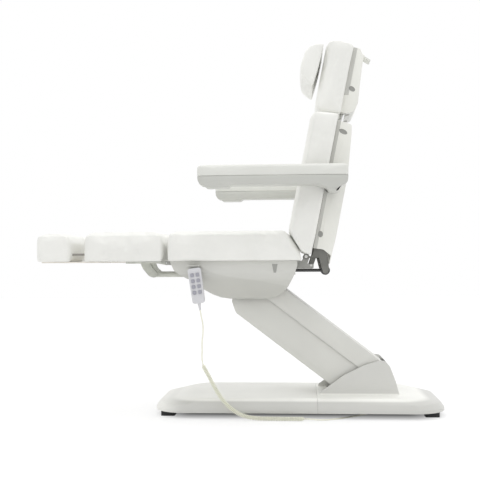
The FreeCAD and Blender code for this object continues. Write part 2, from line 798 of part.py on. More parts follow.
def make_seat():
    points = [
        (seat_front, seat_bottom), (seat_rear + seat_rear_lip, seat_bottom),
        (seat_rear - seat_rear_slope, seat_top), (seat_front, seat_top),
    ]
    radii = [cushion_round / 3, seat_rear_round, cushion_round / 3, cushion_round]
    keep("seat_cushion", padded_block(points, radii, -seat_width / 2, seat_width / 2, (2,), (3,)))

    inner_top = seat_bottom - seat_clearance
    frame_low = inner_top - seat_rail_height
    front, rear = casing_front + 6 * casing_wall, casing_rear - 4 * casing_wall
    half = seat_frame_width / 2
    rail_half = seat_rail_width / 2
    parts = []
    for side in (-1, 1):
        for y in (side * (half - rail_half), side * (leg_bracket_offset + seat_rail_width)):
            parts.append(box(front, rear, y - rail_half, y + rail_half, frame_low, inner_top))
    for x in (front, rear - seat_rail_width):
        parts.append(box(x, x + seat_rail_width, -half, half, frame_low, inner_top))
    lug_half = hinge_pin_radius * 2
    for side in (-1, 1):
        y = side * lug_spread / 2
        link_foot = (back_hinge[0] + crank_dx, back_hinge[1] - crank_dz)
        lug = [
            (rear - seat_rail_width * 2, inner_top), (rear - seat_rail_width * 2, link_foot[1] - lug_half),
            (link_foot[0] + lug_half * 0.8, link_foot[1] - lug_half),
            (link_foot[0] + lug_half * 0.8, link_foot[1] + lug_half / 2),
            (link_foot[0] - lug_half * 1.2, link_foot[1] + lug_half / 2),
            (back_hinge[0] + lug_half, back_hinge[1] - lug_half / 2),
            (back_hinge[0] + lug_half * 0.8, back_hinge[1] + lug_half),
            (back_hinge[0] - lug_half * 0.4, back_hinge[1] + lug_half * 0.8),
            (seat_rear, inner_top),
        ]
        plate = slab(lug, scaled(lug_radius_shares, lug_half), y - lug_thickness / 2, y + lug_thickness / 2)
        plate = plate.cut(cross_cylinder(back_hinge, hinge_pin_radius, y - overrun, y + overrun))
        plate = plate.cut(cross_cylinder(link_foot, link_pin_radius, y - overrun, y + overrun))
        parts.append(plate)
    for side in (-1, 1):
        y = side * (carrier_spread / 2 + carrier_thickness + seat_clearance)
        ear = slab([
            (tilt_pivot[0] - seat_rail_height, inner_top), (tilt_pivot[0] + seat_rail_height, inner_top),
            (tilt_pivot[0] + seat_rail_height / 2, tilt_pivot[1] - seat_rail_height / 2),
            (tilt_pivot[0] - seat_rail_height / 2, tilt_pivot[1] - seat_rail_height / 2),
        ], seat_rail_height / 5, y - carrier_thickness / 2, y + carrier_thickness / 2)
        ear = ear.cut(cross_cylinder(tilt_pivot, hinge_pin_radius, y - overrun, y + overrun))
        parts.append(ear)
    parts.append(box(tilt_pivot[0] - seat_rail_width / 2, tilt_pivot[0] + seat_rail_width / 2, -half, half,
                     frame_low + seat_rail_height / 2, inner_top))
    for side in (-1, 1):
        for y in (side * leg_split, side * (leg_width - 2 * leg_split)):
            ear = slab([
                (leg_hinge[0] - lug_half / 2, leg_hinge[1] + lug_half * 0.45),
                (leg_hinge[0] - lug_half / 2, leg_hinge[1] - lug_half / 2),
                (front + seat_rail_width, frame_low), (front + seat_rail_width, inner_top),
                (seat_front, inner_top), (leg_hinge[0] + leg_gap / 4, leg_hinge[1] + lug_half * 0.45),
            ], scaled(ear_radius_shares, lug_half), y - lug_thickness / 2, y + lug_thickness / 2)
            ear = ear.cut(cross_cylinder(leg_hinge, hinge_pin_radius / 2, y - overrun, y + overrun))
            parts.append(ear)
    keep("seat_frame", fuse(parts))

    pins = []
    for side in (-1, 1):
        y = side * lug_spread / 2
        reach = side * (bracket_spread / 2 + bracket_thickness / 2)
        low, high = sorted((y - side * lug_thickness / 2, reach))
        pins.append(cross_cylinder(back_hinge, hinge_pin_radius, low, high))
        low, high = sorted((side * (link_spread / 2 - link_thickness / 2), y + side * lug_thickness / 2))
        link_foot = (back_hinge[0] + crank_dx, back_hinge[1] - crank_dz)
        pins.append(cross_cylinder(link_foot, link_pin_radius, low, high))
        low, high = sorted((side * (leg_split - lug_thickness / 2),
                            side * (leg_width - 2 * leg_split + lug_thickness / 2)))
        pins.append(cross_cylinder(leg_hinge, hinge_pin_radius / 2, low, high))
        tilt_y = side * (carrier_spread / 2 + carrier_thickness + seat_clearance)
        low, high = sorted((side * (carrier_spread / 2 - carrier_thickness / 2),
                            tilt_y + side * carrier_thickness / 2))
        pins.append(cross_cylinder(tilt_pivot, hinge_pin_radius, low, high))
    keep("hinge_pins", Part.makeCompound(pins))

    casing = casing_body(0).cut(casing_body(casing_wall))
    slot = box(lower_seat_pivot[0] - 2 * arm_below_pivot, casing_rear + overrun, -casing_slot_width / 2,
               casing_slot_width / 2, casing_foot - overrun, seat_bottom - casing_depth * 0.22)
    leg_slot = box(casing_front - overrun, casing_front + leg_slot_depth, -leg_slot_width / 2,
                   leg_slot_width / 2, casing_foot - overrun, seat_bottom + overrun)
    strut_slot = box(casing_rear - 5 * overrun, casing_rear + overrun, strut_y - strut_tube_radius * 1.3,
                     strut_y + strut_tube_radius * 1.3, strut_pivot[1] - 3 * overrun,
                     seat_bottom - seat_clearance - seat_rail_height)
    casing = casing.cut(slot).cut(leg_slot).cut(strut_slot)
    for side in (-1, 1):
        y = side * (leg_width - 2 * leg_split)
        casing = casing.cut(box(casing_front - overrun, casing_front + 2 * overrun, y - lug_thickness,
                                y + lug_thickness, leg_hinge[1] - 2 * overrun, seat_bottom + overrun))
    for side in (-1, 1):
        y = side * lug_spread / 2
        casing = casing.cut(box(casing_rear - 2 * overrun, casing_rear + overrun, y - lug_thickness,
                                y + lug_thickness, strut_pivot[1] - overrun, seat_bottom + overrun))
    groove_x = casing_rear - casing_groove_x
    for side in (-1, 1):
        face = side * casing_width / 2
        low, high = sorted((face - side * recess_depth, face + side * overrun))
        top = seat_bottom - casing_wall * 3
        casing = casing.cut(slab([
            (groove_x - recess_width / 2, top), (groove_x + recess_width / 2, top),
            (groove_x, top - recess_height),
        ], recess_depth / 2, low, high))
    keep("seat_casing", casing)


# Handset

def handset_frame():
    """The handset's top middle and the direction in which it hangs."""
    top = (seat_front + handset_top_inset, seat_bottom - handset_top_drop)
    lean = math.radians(handset_lean)
    return top, (math.sin(lean), -math.cos(lean))


def handset_point(across, down):
    top, (dx, dz) = handset_frame()
    return (top[0] + dx * down - dz * across, top[1] + dz * down + dx * across)


def make_handset():
    face_in = -casing_width / 2 - holder_gap
    face_out = face_in - handset_depth
    half = handset_width / 2
    outline = [handset_point(-half, 0), handset_point(half, 0), handset_point(half * 0.92, handset_length),
               handset_point(-half * 0.92, handset_length)]
    body = slab(outline, handset_corner, face_out, face_in)
    tail = handset_point(0, handset_length)
    end = handset_point(0, handset_length + boot_length)
    middle_y = (face_in + face_out) / 2
    start = Vector(tail[0], middle_y, tail[1])
    direction = Vector(end[0] - tail[0], 0, end[1] - tail[1])
    boot = Part.makeCone(boot_radius, lead_diameter / 2 * 1.2, boot_length, start, direction)
    body = body.fuse(boot)
    positions = []
    for row in range(button_rows):
        for column in (-1, 1):
            positions.append((column * button_column_pitch / 2, button_first_row + row * button_row_pitch))
    for number, (across, down) in enumerate(positions, 1):
        def outline_of(grow):
            a, b = button_width / 2 + grow, button_height / 2 + grow
            return [handset_point(across - a, down - b), handset_point(across + a, down - b),
                    handset_point(across + a, down + b), handset_point(across - a, down + b)]
        pocket = slab(outline_of(button_gap), button_corner + button_gap, face_out - overrun,
                      face_out + button_sink + button_gap * 8)
        body = body.cut(pocket)
        keep(f"handset_button_{number}", slab(outline_of(0), button_corner, face_out - button_rise,
                                              face_out + button_sink))
    keep("handset_shell", body)
    hook_top = handset_point(0, -holder_depth / 2)
    length = holder_length
    plate = box(hook_top[0] - length / 2, hook_top[0] + length / 2, face_in, -casing_width / 2,
                hook_top[1] - holder_length, hook_top[1] + holder_depth / 2)
    roof_low = handset_point(half, 0)[1] + seat_clearance
    roof = box(hook_top[0] - length / 2, hook_top[0] + length / 2, face_out, face_in,
               max(roof_low, hook_top[1]), max(roof_low, hook_top[1]) + holder_depth / 4)
    back = box(hook_top[0] - length / 2, hook_top[0] + length / 2, face_in, -casing_width / 2,
               hook_top[1] - holder_length, max(roof_low, hook_top[1]) + holder_depth / 4)
    keep("handset_holder", fuse([plate.common(back), back, roof]))


# Back

def back_point(rise, back):
    """A point on the leaning back, measured up from its hinge and square to it."""
    return lean_point(back_hinge, rise, back, back_lean)


bracket_radius_shares = [0.6, 0.3, 0.5, 0.5, 0.3, 0.3, 0.6, 0.75, 0.9, 0.9, 0.6, 0.3, 0.3, 0.6]
back_cover_shares = [
    (0.065, 0.0), (0.964, 0.0), (0.949, 0.727), (0.88, 0.805), (0.6, 1.0), (0.16, 1.0), (0.035, 0.95),
    (0.07, 0.5),
]
back_cover_radius_shares = [0.026, 0.039, 0.13, 0.52, 1.04, 0.78, 0.052, 0.26]
back_lip_shares = [(0.07, 0.955), (0.07, 0.915), (-0.02, 0.91), (-0.02, 0.95)]


def make_back():
    foot = (seat_rear - seat_rear_slope + cushion_gap, seat_top + cushion_gap / 2)
    points = [
        foot, back_point(back_height - cushion_round / 3, -back_thickness * 0.8),
        back_point(back_height, back_rear_offset), back_point(back_foot_rise, back_rear_offset),
    ]
    radii = [cushion_round / 4, cushion_round * 0.7, cushion_round / 4, cushion_round * 0.7]
    keep("back_cushion", padded_block(points, radii, -seat_width / 2, seat_width / 2, (0,), (1,)))

    half = back_frame_spread / 2
    tube_back = back_rear_offset + back_frame_tube + back_frame_gap
    low, high = back_point(hinge_pin_radius * 9, tube_back), back_point(back_height * 0.86, tube_back)
    parts = []
    foot_tube = back_point(back_height * 0.12, back_thickness * 0.7)
    for side in (-1, 1):
        parts.append(rod_between(low, high, back_frame_tube, side * half))
        gusset = [
            back_point(back_height * 0.1, tube_back - back_frame_tube / 2),
            back_point(back_height * 0.2, tube_back - back_frame_tube / 2),
            back_point(back_height * 0.15, back_thickness * 0.76),
            back_point(back_height * 0.1, back_thickness * 0.76),
        ]
        parts.append(slab(gusset, bracket_thickness / 2, side * half - bracket_thickness / 2,
                          side * half + bracket_thickness / 2))
    for rise in (hub_rise - hub_radius * 3, back_height * 0.85):
        centre = back_point(rise, tube_back)
        parts.append(cross_cylinder(centre, back_frame_tube * 0.9, -half, half))
    sleeve_low = back_point(back_height - post_depth - head_bottom_gap, post_back)
    sleeve_high = back_point(back_height * 0.93, post_back)
    for side in (-1, 1):
        parts.append(rod_between(sleeve_low, sleeve_high, post_sleeve_radius, side * post_spread / 2))
    plate_y = bracket_spread / 2
    reach = bracket_thickness / 2
    radius = hinge_pin_radius * 2.2
    plate = [
        (back_hinge[0] - radius, back_hinge[1] - radius * 0.2), back_point(radius * 0.8, -radius * 0.6),
        back_point(back_foot_rise / 3, back_thickness * 0.24),
        back_point(back_thickness * 0.5, back_thickness * 0.24),
        back_point(back_height * 0.2, back_thickness * 0.24),
        back_point(back_height * 0.2, back_thickness * 0.6),
        back_point(back_thickness * 0.24, back_thickness * 0.78),
        (strut_pivot[0] + radius * 0.95, strut_pivot[1] + radius * 0.4),
        (strut_pivot[0] + radius * 0.6, strut_pivot[1] - radius),
        (strut_pivot[0] - radius * 0.6, strut_pivot[1] - radius),
        (strut_pivot[0] - radius * 1.3, strut_pivot[1] + radius * 1.2),
        (strut_pivot[0] - radius * 1.9, back_hinge[1] - radius * 0.3),
        (back_hinge[0] + radius * 1.2, back_hinge[1] - radius * 0.3),
        (back_hinge[0] + radius * 0.2, back_hinge[1] - radius * 0.9),
    ]
    for side in (-1, 1):
        y = side * plate_y
        cheek = slab(plate, scaled(bracket_radius_shares, radius), y - reach, y + reach)
        bore = hinge_pin_radius + running_gap
        cheek = cheek.cut(cross_cylinder(back_hinge, bore, y - overrun, y + overrun))
        parts.append(cheek)
    parts.append(cross_cylinder(foot_tube, back_frame_tube * 0.7, -plate_y, plate_y))
    parts.append(cross_cylinder(strut_pivot, cross_pin_radius, -plate_y, plate_y))
    for side in (-1, 1):
        y_low, y_high = sorted((side * (half - back_frame_tube / 3), side * armrest_spacing / 2))
        shaft = cross_cylinder(hub_pivot, armrest_shaft_radius, y_low, y_high)
        collar = cross_cylinder(hub_pivot, back_frame_tube * 1.6, *sorted((
            side * (half - back_frame_tube / 2), side * (half + back_frame_tube * 1.5))))
        parts += [shaft, collar]
    frame = fuse(parts)
    for side in (-1, 1):
        bore_top = back_point(back_height, post_back)
        frame = frame.cut(
            rod_between(sleeve_low, bore_top, post_radius + running_gap, side * post_spread / 2))
    keep("back_frame", frame)

    start = back_rear_offset + back_cover_gap
    outer = [
        back_point(rise * back_height, start + back * back_cover_depth) for rise, back in back_cover_shares
    ]
    radii = scaled(back_cover_radius_shares, back_cover_depth)
    side_shell = centred_slab(outer, radii, back_cover_width)
    wall = back_cover_wall
    inner = inset_points(outer, [-overrun, wall, wall, wall, wall, wall, -overrun, -overrun])
    inner_shell = centred_slab(inner, less(radii, wall), back_cover_width - 2 * wall)
    lip = [back_point(rise * back_height, start + back * back_cover_depth) for rise, back in back_lip_shares]
    cover = side_shell.cut(inner_shell).fuse(centred_slab(lip, 0, back_cover_width))
    for side in (-1, 1):
        y = side * back_cover_width / 2
        hole = hub_sleeve_radius + seat_clearance * 3
        cover = cover.cut(cross_cylinder(hub_pivot, hole, y - overrun, y + overrun))
    for side in (-1, 1):
        top_low = back_point(back_height - post_depth, post_back)
        top_high = back_point(back_height + overrun, post_back)
        hole = post_radius + seat_clearance * 4
        cover = cover.cut(rod_between(top_low, top_high, hole, side * post_spread / 2))
    keep("back_cover", cover)

    axis_z = strut_pivot[1]
    end_x = strut_pivot[0] - strut_length
    show_x = strut_pivot[0] - strut_rod_show
    bore = cross_pin_radius + running_gap
    eye = cross_cylinder(strut_pivot, cross_pin_radius * 1.8, strut_y - strut_eye_width / 2,
                         strut_y + strut_eye_width / 2)
    near_pin = (strut_pivot[0] - cross_pin_radius, axis_z)
    rod = fuse([rod_between((show_x, axis_z), near_pin, strut_rod_radius, strut_y), eye])
    rod = rod.cut(cross_cylinder(strut_pivot, bore, strut_y - strut_eye_width, strut_y + strut_eye_width))
    keep("back_drive_rod", rod)
    keep("back_drive_tube", rod_between((end_x, axis_z), (show_x, axis_z), strut_tube_radius, strut_y))


# Armrests

armrest_shares = [
    (0.0, 1.0), (0.004, 0.5), (0.02, 0.0), (0.045, 0.0), (0.055, -0.25), (0.2, -0.25), (0.22, 0.0),
    (0.78, 0.0), (0.86, -0.35), (0.875, -0.85), (0.93, -0.85), (0.945, -0.3), (0.995, 0.2), (1.0, 1.0),
]
armrest_radius_shares = [0, 0.18, 0.4, 0.12, 0.18, 0.18, 0.12, 1.75, 0.6, 0.4, 0.4, 0.24, 0.47, 0]
pad_radius_shares = [0.3, 0.3, 1, 1]


def make_armrests():
    for side, name in ((-1, "left"), (1, "right")):
        middle = side * armrest_spacing / 2
        y_low, y_high = middle - armrest_width / 2, middle + armrest_width / 2
        front, rear = hub_pivot[0] - armrest_length + armrest_rear_reach, hub_pivot[0] + armrest_rear_reach
        top = hub_pivot[1] + armrest_top_rise
        joint = top - armrest_pad_depth
        pad = [(front, joint + seat_clearance), (rear, joint + seat_clearance), (rear, top), (front, top)]
        keep(f"{name}_armrest_pad", padded_block(
            pad, scaled(pad_radius_shares, armrest_round), y_low, y_high, (), (), armrest_round))
        foot = joint - armrest_depth
        casing = from_shares(armrest_shares, front, foot, armrest_length, armrest_depth)
        shape = slab(casing, scaled(armrest_radius_shares, armrest_depth), y_low, y_high)
        shape = shape.cut(cross_cylinder(hub_pivot, armrest_shaft_radius + seat_clearance, *sorted((
            side * (armrest_spacing / 2 - armrest_width), side * (armrest_spacing / 2 + hub_gap)))))
        keep(f"{name}_armrest_casing", shape)

        inner_face = side * (armrest_spacing - armrest_width) / 2
        disc_face = side * (seat_width / 2 + hub_gap)
        hub_low, hub_high = sorted((disc_face, inner_face - side * hub_gap))
        hub = cross_cylinder(hub_pivot, hub_radius, hub_low, hub_high)
        crank_pivot = (hub_pivot[0] + crank_dx, hub_pivot[1] - crank_dz)
        crank_y = side * (link_spread / 2 + link_thickness + seat_clearance)
        sleeve = cross_cylinder(hub_pivot, hub_sleeve_radius, *sorted((
            crank_y - side * link_thickness / 2, disc_face)))
        crank = flat_bar(hub_pivot, crank_pivot, crank_radius * 2, *sorted((
            crank_y - side * link_thickness / 2, crank_y + side * link_thickness / 2)))
        pin = cross_cylinder(crank_pivot, link_pin_radius - running_gap, *sorted((
            side * (link_spread / 2 - link_thickness / 2), crank_y)))
        hub = fuse([hub, sleeve, crank]).cut(cross_cylinder(
            hub_pivot, armrest_shaft_radius + running_gap, -armrest_spacing, armrest_spacing))
        keep(f"{name}_armrest_hub", hub.fuse(pin))
        link_foot = (back_hinge[0] + crank_dx, back_hinge[1] - crank_dz)
        y = side * link_spread / 2
        reach = link_thickness / 2
        link = flat_bar(link_foot, crank_pivot, link_bar_width, y - reach, y + reach)
        for pivot in (link_foot, crank_pivot):
            link = link.cut(cross_cylinder(pivot, link_pin_radius + running_gap, y - overrun, y + overrun))
        keep(f"{name}_armrest_link", link)


# Headrest

def head_point(rise, back):
    return back_point(back_height + head_bottom_gap + rise, back)


head_radius_shares = [1.4, 0.35, 0.45, 3.5, 1]
head_shell_shares = [
    (0.05, 0.0), (0.945, 0.0), (0.945, 0.53), (0.84, 0.88), (0.66, 0.93), (0.39, 1.03), (0.215, 1.12),
    (0.09, 0.93), (0.05, 0.45),
]
head_shell_radius_shares = [0.04, 0.06, 0.19, 0.56, 1.1, 1.1, 0.44, 0.26, 0.19]
head_ear_shares = [(0.885, 0.55), (0.905, 0.99), (0.945, 0.99), (0.965, 0.45)]
pillow_shares = [(0.0, 0.24), (1.0, 0.11), (0.93, 0.83), (0.25, 1.0)]
pillow_radius_shares = [0.2, 0.28, 1, 1]


def make_headrest():
    front = head_front
    rear = front + head_thickness
    points = [
        head_point(0, front), head_point(0, rear), head_point(head_height - head_round * 1.3, rear),
        head_point(head_height, (front + 2 * rear) / 3), head_point(head_height - head_round * 0.6, front),
    ]
    keep("headrest_cushion", padded_block(
        points, scaled(head_radius_shares, head_round), -head_width / 2, head_width / 2, (4,), (0,)))
    start = rear + seat_clearance
    depth = head_shell_depth
    shell = [head_point(rise * head_height, start + back * depth) for rise, back in head_shell_shares]
    radii = scaled(head_shell_radius_shares, depth)
    outer = centred_slab(shell, radii, head_shell_width)
    wall = cover_wall
    inner_points = inset_points(shell, [-overrun] + [wall] * 8)
    inner = centred_slab(inner_points, less(radii, wall), head_shell_width - 2 * wall)
    cover = outer.cut(inner)
    for side in (-1, 1):
        slot = [
            head_point(-overrun, post_back - post_radius * 1.5),
            head_point(head_pivot_rise * 0.6, post_back - post_radius * 1.5),
            head_point(head_pivot_rise * 0.7, post_back + post_radius * 2.8),
            head_point(-overrun, post_back + post_radius * 7),
        ]
        middle = side * post_spread / 2
        cover = cover.cut(slab(slot, post_radius / 2, middle - post_radius * 2, middle + post_radius * 2))
    lever_pivot = head_point(head_height * 0.925, rear + depth * 0.91)
    pin_half = lever_width / 2 + lever_thickness
    ears = [cross_cylinder(lever_pivot, lever_pin_radius, -pin_half, pin_half)]
    for side in (-1, 1):
        low, high = sorted((side * (lever_width / 2 + seat_clearance), side * pin_half))
        ear = [head_point(rise * head_height, rear + back * depth) for rise, back in head_ear_shares]
        ears.append(slab(ear, lever_pin_radius, low, high))
    keep("headrest_shell", fuse([cover, *ears]))

    low = head_point(-head_bottom_gap - post_depth, post_back)
    high = head_point(head_pivot_rise, post_back)
    bar_half = head_shell_width / 2 - wall
    posts = [rod_between(low, high, post_radius, side * post_spread / 2) for side in (-1, 1)]
    keep("headrest_posts", fuse([*posts, cross_cylinder(high, post_radius * 0.8, -bar_half, bar_half)]))
    points = []
    for rise, out in pillow_shares:
        points.append(head_point(pillow_rise + rise * pillow_height, front - out * pillow_depth))
    radii = scaled(pillow_radius_shares, pillow_round)
    pillow = padded_block(points, radii, -pillow_length / 2, pillow_length / 2, (), (), head_round)
    strap_front = front - cushion_crown - seat_clearance
    strap = centred_slab([
        head_point(pillow_rise + pillow_height * 0.3, front - pillow_depth / 3),
        head_point(pillow_rise + pillow_height * 0.3, strap_front),
        head_point(pillow_rise + pillow_height * 0.94, strap_front),
        head_point(pillow_rise + pillow_height * 0.85, front - pillow_depth / 3),
    ], 0, strap_width)
    keep("headrest_pillow", fuse([pillow, strap]))

    tip = (lever_pivot[0] + lever_length, lever_pivot[1] - lever_drop)
    grip = flat_bar(lever_pivot, tip, lever_thickness, -lever_width / 2, lever_width / 2)
    keep("headrest_lever", grip.cut(cross_cylinder(
        lever_pivot, lever_pin_radius + running_gap, -pin_half, pin_half)))


# Leg rests

leg_radius_shares = [0.54, 0.3, 1, 1]
foot_radius_shares = [0.4, 0.54, 1.08, 0.92]
leg_bracket_shares = [
    (-1.1, 1.0), (-0.88, 0.46), (-0.38, -0.15), (0.04, -0.27), (0.27, -0.04), (0.15, 0.23), (-0.15, 0.5),
    (-0.35, 1.0),
]
leg_bracket_radius_shares = [0, 0.77, 0.58, 0.23, 0.23, 0.19, 0.58, 0]


def make_legs():
    for side, name in ((-1, "left"), (1, "right")):
        y_mid = side * (leg_split + leg_width) / 2
        y_low, y_high = y_mid - leg_width / 2, y_mid + leg_width / 2
        top = seat_top - leg_step
        points = [(leg_front, seat_bottom), (leg_rear, seat_bottom), (leg_rear, top), (leg_front, top)]
        radii = scaled(leg_radius_shares, cushion_round)
        cushion = padded_block(points, radii, y_low, y_high, (2,), (1, 3))
        rod_z = seat_bottom + slide_rod_rise
        for offset in (-slide_rod_spread / 2, slide_rod_spread / 2):
            cushion = cushion.cut(Part.makeCylinder(
                slide_rod_radius + seat_clearance * 2, slide_rod_reach + 4 * overrun,
                Vector(leg_front - overrun, y_mid + offset, rod_z), Vector(1, 0, 0)))
        keep(f"{name}_leg_cushion", cushion)

        under = seat_bottom - seat_clearance - foot_plate - 2 * seat_clearance
        plate_rear = leg_rear - leg_gap
        plate = box(plate_rear - leg_plate_length * 0.55, plate_rear, y_mid - leg_plate_width / 2,
                    y_mid + leg_plate_width / 2, under - leg_plate + foot_plate, under + foot_plate)
        y = side * leg_bracket_offset
        half = leg_bracket_width / 2
        drop = under + foot_plate - leg_pivot[1]
        outline = from_shares(leg_bracket_shares, leg_pivot[0], leg_pivot[1], drop, drop)
        bracket = slab(outline, scaled(leg_bracket_radius_shares, drop), y - half, y + half)
        slot_half = half - leg_bracket_wall
        bracket = bracket.cut(box(leg_pivot[0] - gas_eye_radius * 1.2, leg_pivot[0] + 4 * gas_eye_radius,
                                  y - slot_half, y + slot_half, leg_pivot[1] - 2 * gas_eye_radius,
                                  leg_pivot[1] + gas_eye_radius * 1.2))
        pin = cross_cylinder(leg_pivot, link_pin_radius, y - half, y + half)
        lug_half = hinge_pin_radius * 2
        arms = []
        inner_y = leg_split + 2 * lug_thickness
        outer_y = leg_width - 2 * (leg_split + lug_thickness)
        plate_low, plate_high = under - leg_plate + foot_plate, under + foot_plate
        for along in (side * inner_y, side * outer_y):
            arm = slab([
                (leg_hinge[0] + lug_half * 0.5, leg_hinge[1] + lug_half * 0.6),
                (leg_hinge[0] + lug_half * 0.5, leg_hinge[1] - lug_half * 0.8),
                (plate_rear - lug_half, plate_low), (plate_rear - lug_half, plate_high),
                (leg_rear + seat_clearance * 2, plate_high),
                (leg_rear + seat_clearance * 2, leg_hinge[1] + lug_half * 0.6),
            ], scaled(arm_radius_shares, lug_half), along - lug_thickness / 2, along + lug_thickness / 2)
            arms.append(arm.cut(cross_cylinder(
                leg_hinge, hinge_pin_radius / 2 + running_gap, along - overrun, along + overrun)))
        bridge_y = sorted((side * (inner_y - lug_thickness / 2), side * (outer_y + lug_thickness / 2)))
        bridge = box(plate_rear - 2 * lug_half, plate_rear - lug_half, *bridge_y, plate_low, plate_high)
        keep(f"{name}_leg_frame", fuse([plate, bracket, pin, bridge, *arms]))

        eye_half = slot_half - 2 * seat_clearance
        eye = cross_cylinder(leg_pivot, gas_eye_radius * 0.8, y - eye_half, y + eye_half)
        tube = rod_between(leg_pivot, (leg_pivot[0] + gas_tube_length, leg_pivot[1]), gas_tube_radius, y)
        strut = fuse([eye, tube]).common(box(leg_pivot[0] - overrun, leg_pivot[0] + gas_tube_length,
                                             y - eye_half, y + eye_half, 0, seat_top)
                                         .fuse(box(leg_pivot[0] + gas_eye_radius * 1.5,
                                                   leg_pivot[0] + gas_tube_length, y - half, y + half,
                                                   0, seat_top)))
        strut = strut.cut(cross_cylinder(leg_pivot, link_pin_radius + running_gap, y - half, y + half))
        keep(f"{name}_gas_strut", strut)

        top = seat_top - foot_step
        points = [(foot_front, seat_bottom), (foot_rear, seat_bottom), (foot_rear, top), (foot_front, top)]
        pad = padded_block(points, scaled(foot_radius_shares, cushion_round), y_low, y_high, (2,), (1, 3))
        for offset in (-slide_rod_spread / 2, slide_rod_spread / 2):
            pad = pad.cut(Part.makeCylinder(slide_rod_radius, foot_length_x, Vector(
                foot_rear - foot_length_x / 2, y_mid + offset, rod_z), Vector(1, 0, 0)))
        keep(f"{name}_foot_cushion", pad)
        half = foot_plate_width / 2
        plate_front, plate_top = foot_front + foot_length_x * 0.08, seat_bottom - seat_clearance
        slides = [box(plate_front, foot_rear + foot_plate_reach, y_mid - half, y_mid + half,
                      plate_top - foot_plate, plate_top)]
        for offset in (-slide_rod_spread / 2, slide_rod_spread / 2):
            start = Vector(foot_rear - foot_length_x / 2, y_mid + offset, rod_z)
            slides.append(Part.makeCylinder(slide_rod_radius, slide_rod_reach, start, Vector(1, 0, 0)))
        keep(f"{name}_foot_slide", Part.makeCompound(slides))


# Cord

def tube_path(points):
    """Straight runs joined by tangent arcs, each as large as its two runs allow, and the radii."""
    corners = [Vector(*p) for p in points]
    edges, radii = [], []
    here = corners[0]
    for before, corner, after in zip(corners, corners[1:], corners[2:]):
        a, b = before - corner, after - corner
        run = min(a.Length, b.Length)
        a.normalize()
        b.normalize()
        half = a.getAngle(b) / 2
        trim = corner_share * run
        radius = trim * math.tan(half)
        middle = a + b
        middle.normalize()
        first, last = corner + a * trim, corner + b * trim
        edges.append(Part.LineSegment(here, first).toShape())
        edges.append(Part.Arc(first, corner + middle * (radius / math.sin(half) - radius), last).toShape())
        radii.append(radius)
        here = last
    edges.append(Part.LineSegment(here, corners[-1]).toShape())
    return Part.Wire(edges), radii


def round_tube(name, points, diameter):
    path, radii = tube_path(points)
    start, following = Vector(*points[0]), Vector(*points[1])
    profile = Part.Wire([Part.makeCircle(diameter / 2, start, following - start)])
    tube = path.makePipeShell([profile], True, False)
    volume = math.pi * (diameter / 2) ** 2 * path.Length
    print(name, "length", round(path.Length, 1), "radii", [round(r) for r in radii],
          "volume", round(tube.Volume), "of", round(volume))
    keep(name, tube)


def placed(route):
    """A route's points, moved with the handset at their upper end and with the gland at their lower end."""
    boot = handset_point(0, handset_length + boot_length)
    exit_x, exit_y, exit_z = lead_route[0]
    across = (handset_y + gland_y) / (exit_y + gland_y)
    moved = []
    for x, y, z in route:
        share = z / exit_z
        moved.append((x + (boot[0] - exit_x) * share, (y + gland_y) * across - gland_y, boot[1] * share))
    return moved


def make_leads():
    round_tube("handset_lead", placed(lead_route), lead_diameter)
    round_tube("floor_lead", placed(floor_route), lead_diameter)


def curl_line():
    """The curly cord's middle line: it hangs, swings round and lies along the floor, as runs and arcs."""
    corners = [Vector(*p) for p in placed([lead_route[-1], *curl_route, floor_route[0]])]
    pieces = []
    here = corners[0]
    for before, corner, after in zip(corners, corners[1:], corners[2:]):
        a, b = before - corner, after - corner
        run = min(a.Length, b.Length)
        a.normalize()
        b.normalize()
        half = a.getAngle(b) / 2
        trim = corner_share * run
        first, last = corner + a * trim, corner + b * trim
        radius = trim * math.tan(half)
        middle = a + b
        middle.normalize()
        pieces.append(("run", here, first))
        pieces.append(("arc", first, last, corner + middle * (radius / math.sin(half)), radius))
        here = last
    pieces.append(("run", here, corners[-1]))
    return pieces


def piece_length(piece):
    if piece[0] == "run":
        return (piece[2] - piece[1]).Length
    return piece[4] * (piece[1] - piece[3]).getAngle(piece[2] - piece[3])


def line_point(pieces, distance):
    """The place and direction at a distance along the middle line, which lies in one upright plane."""
    for piece in pieces:
        length = piece_length(piece)
        if distance <= length or piece is pieces[-1]:
            break
        distance -= length
    if piece[0] == "run":
        direction = piece[2] - piece[1]
        direction.normalize()
        return piece[1] + direction * distance, direction
    start, centre, radius = piece[1], piece[3], piece[4]
    out = start - centre
    normal = out.cross(piece[2] - centre)
    normal.normalize()
    turned = FreeCAD.Rotation(normal, math.degrees(distance / radius)).multVec(out)
    direction = normal.cross(turned)
    direction.normalize()
    return centre + turned, direction


def biarc(start, start_way, end, end_way):
    """Two tangent arcs from one point and direction to another, as edges."""
    v, t = end - start, start_way + end_way
    dot = 1 - start_way.dot(end_way)
    d = (-v.dot(t) + math.sqrt(v.dot(t) ** 2 + 2 * dot * v.dot(v))) / (2 * dot)
    q0, q1 = start + start_way * d, end - end_way * d
    join = (q0 + q1) / 2
    arcs = []
    for a, q, b in ((start, q0, join), (join, q1, end)):
        chord_mid = (a + b) / 2
        rise = q - chord_mid
        half_chord = (b - a).Length / 2
        sag = half_chord * math.tan(math.atan2(rise.Length, half_chord) / 2)
        rise.normalize()
        arcs.append(Part.Arc(a, chord_mid + rise * sag, b).toShape())
    return arcs


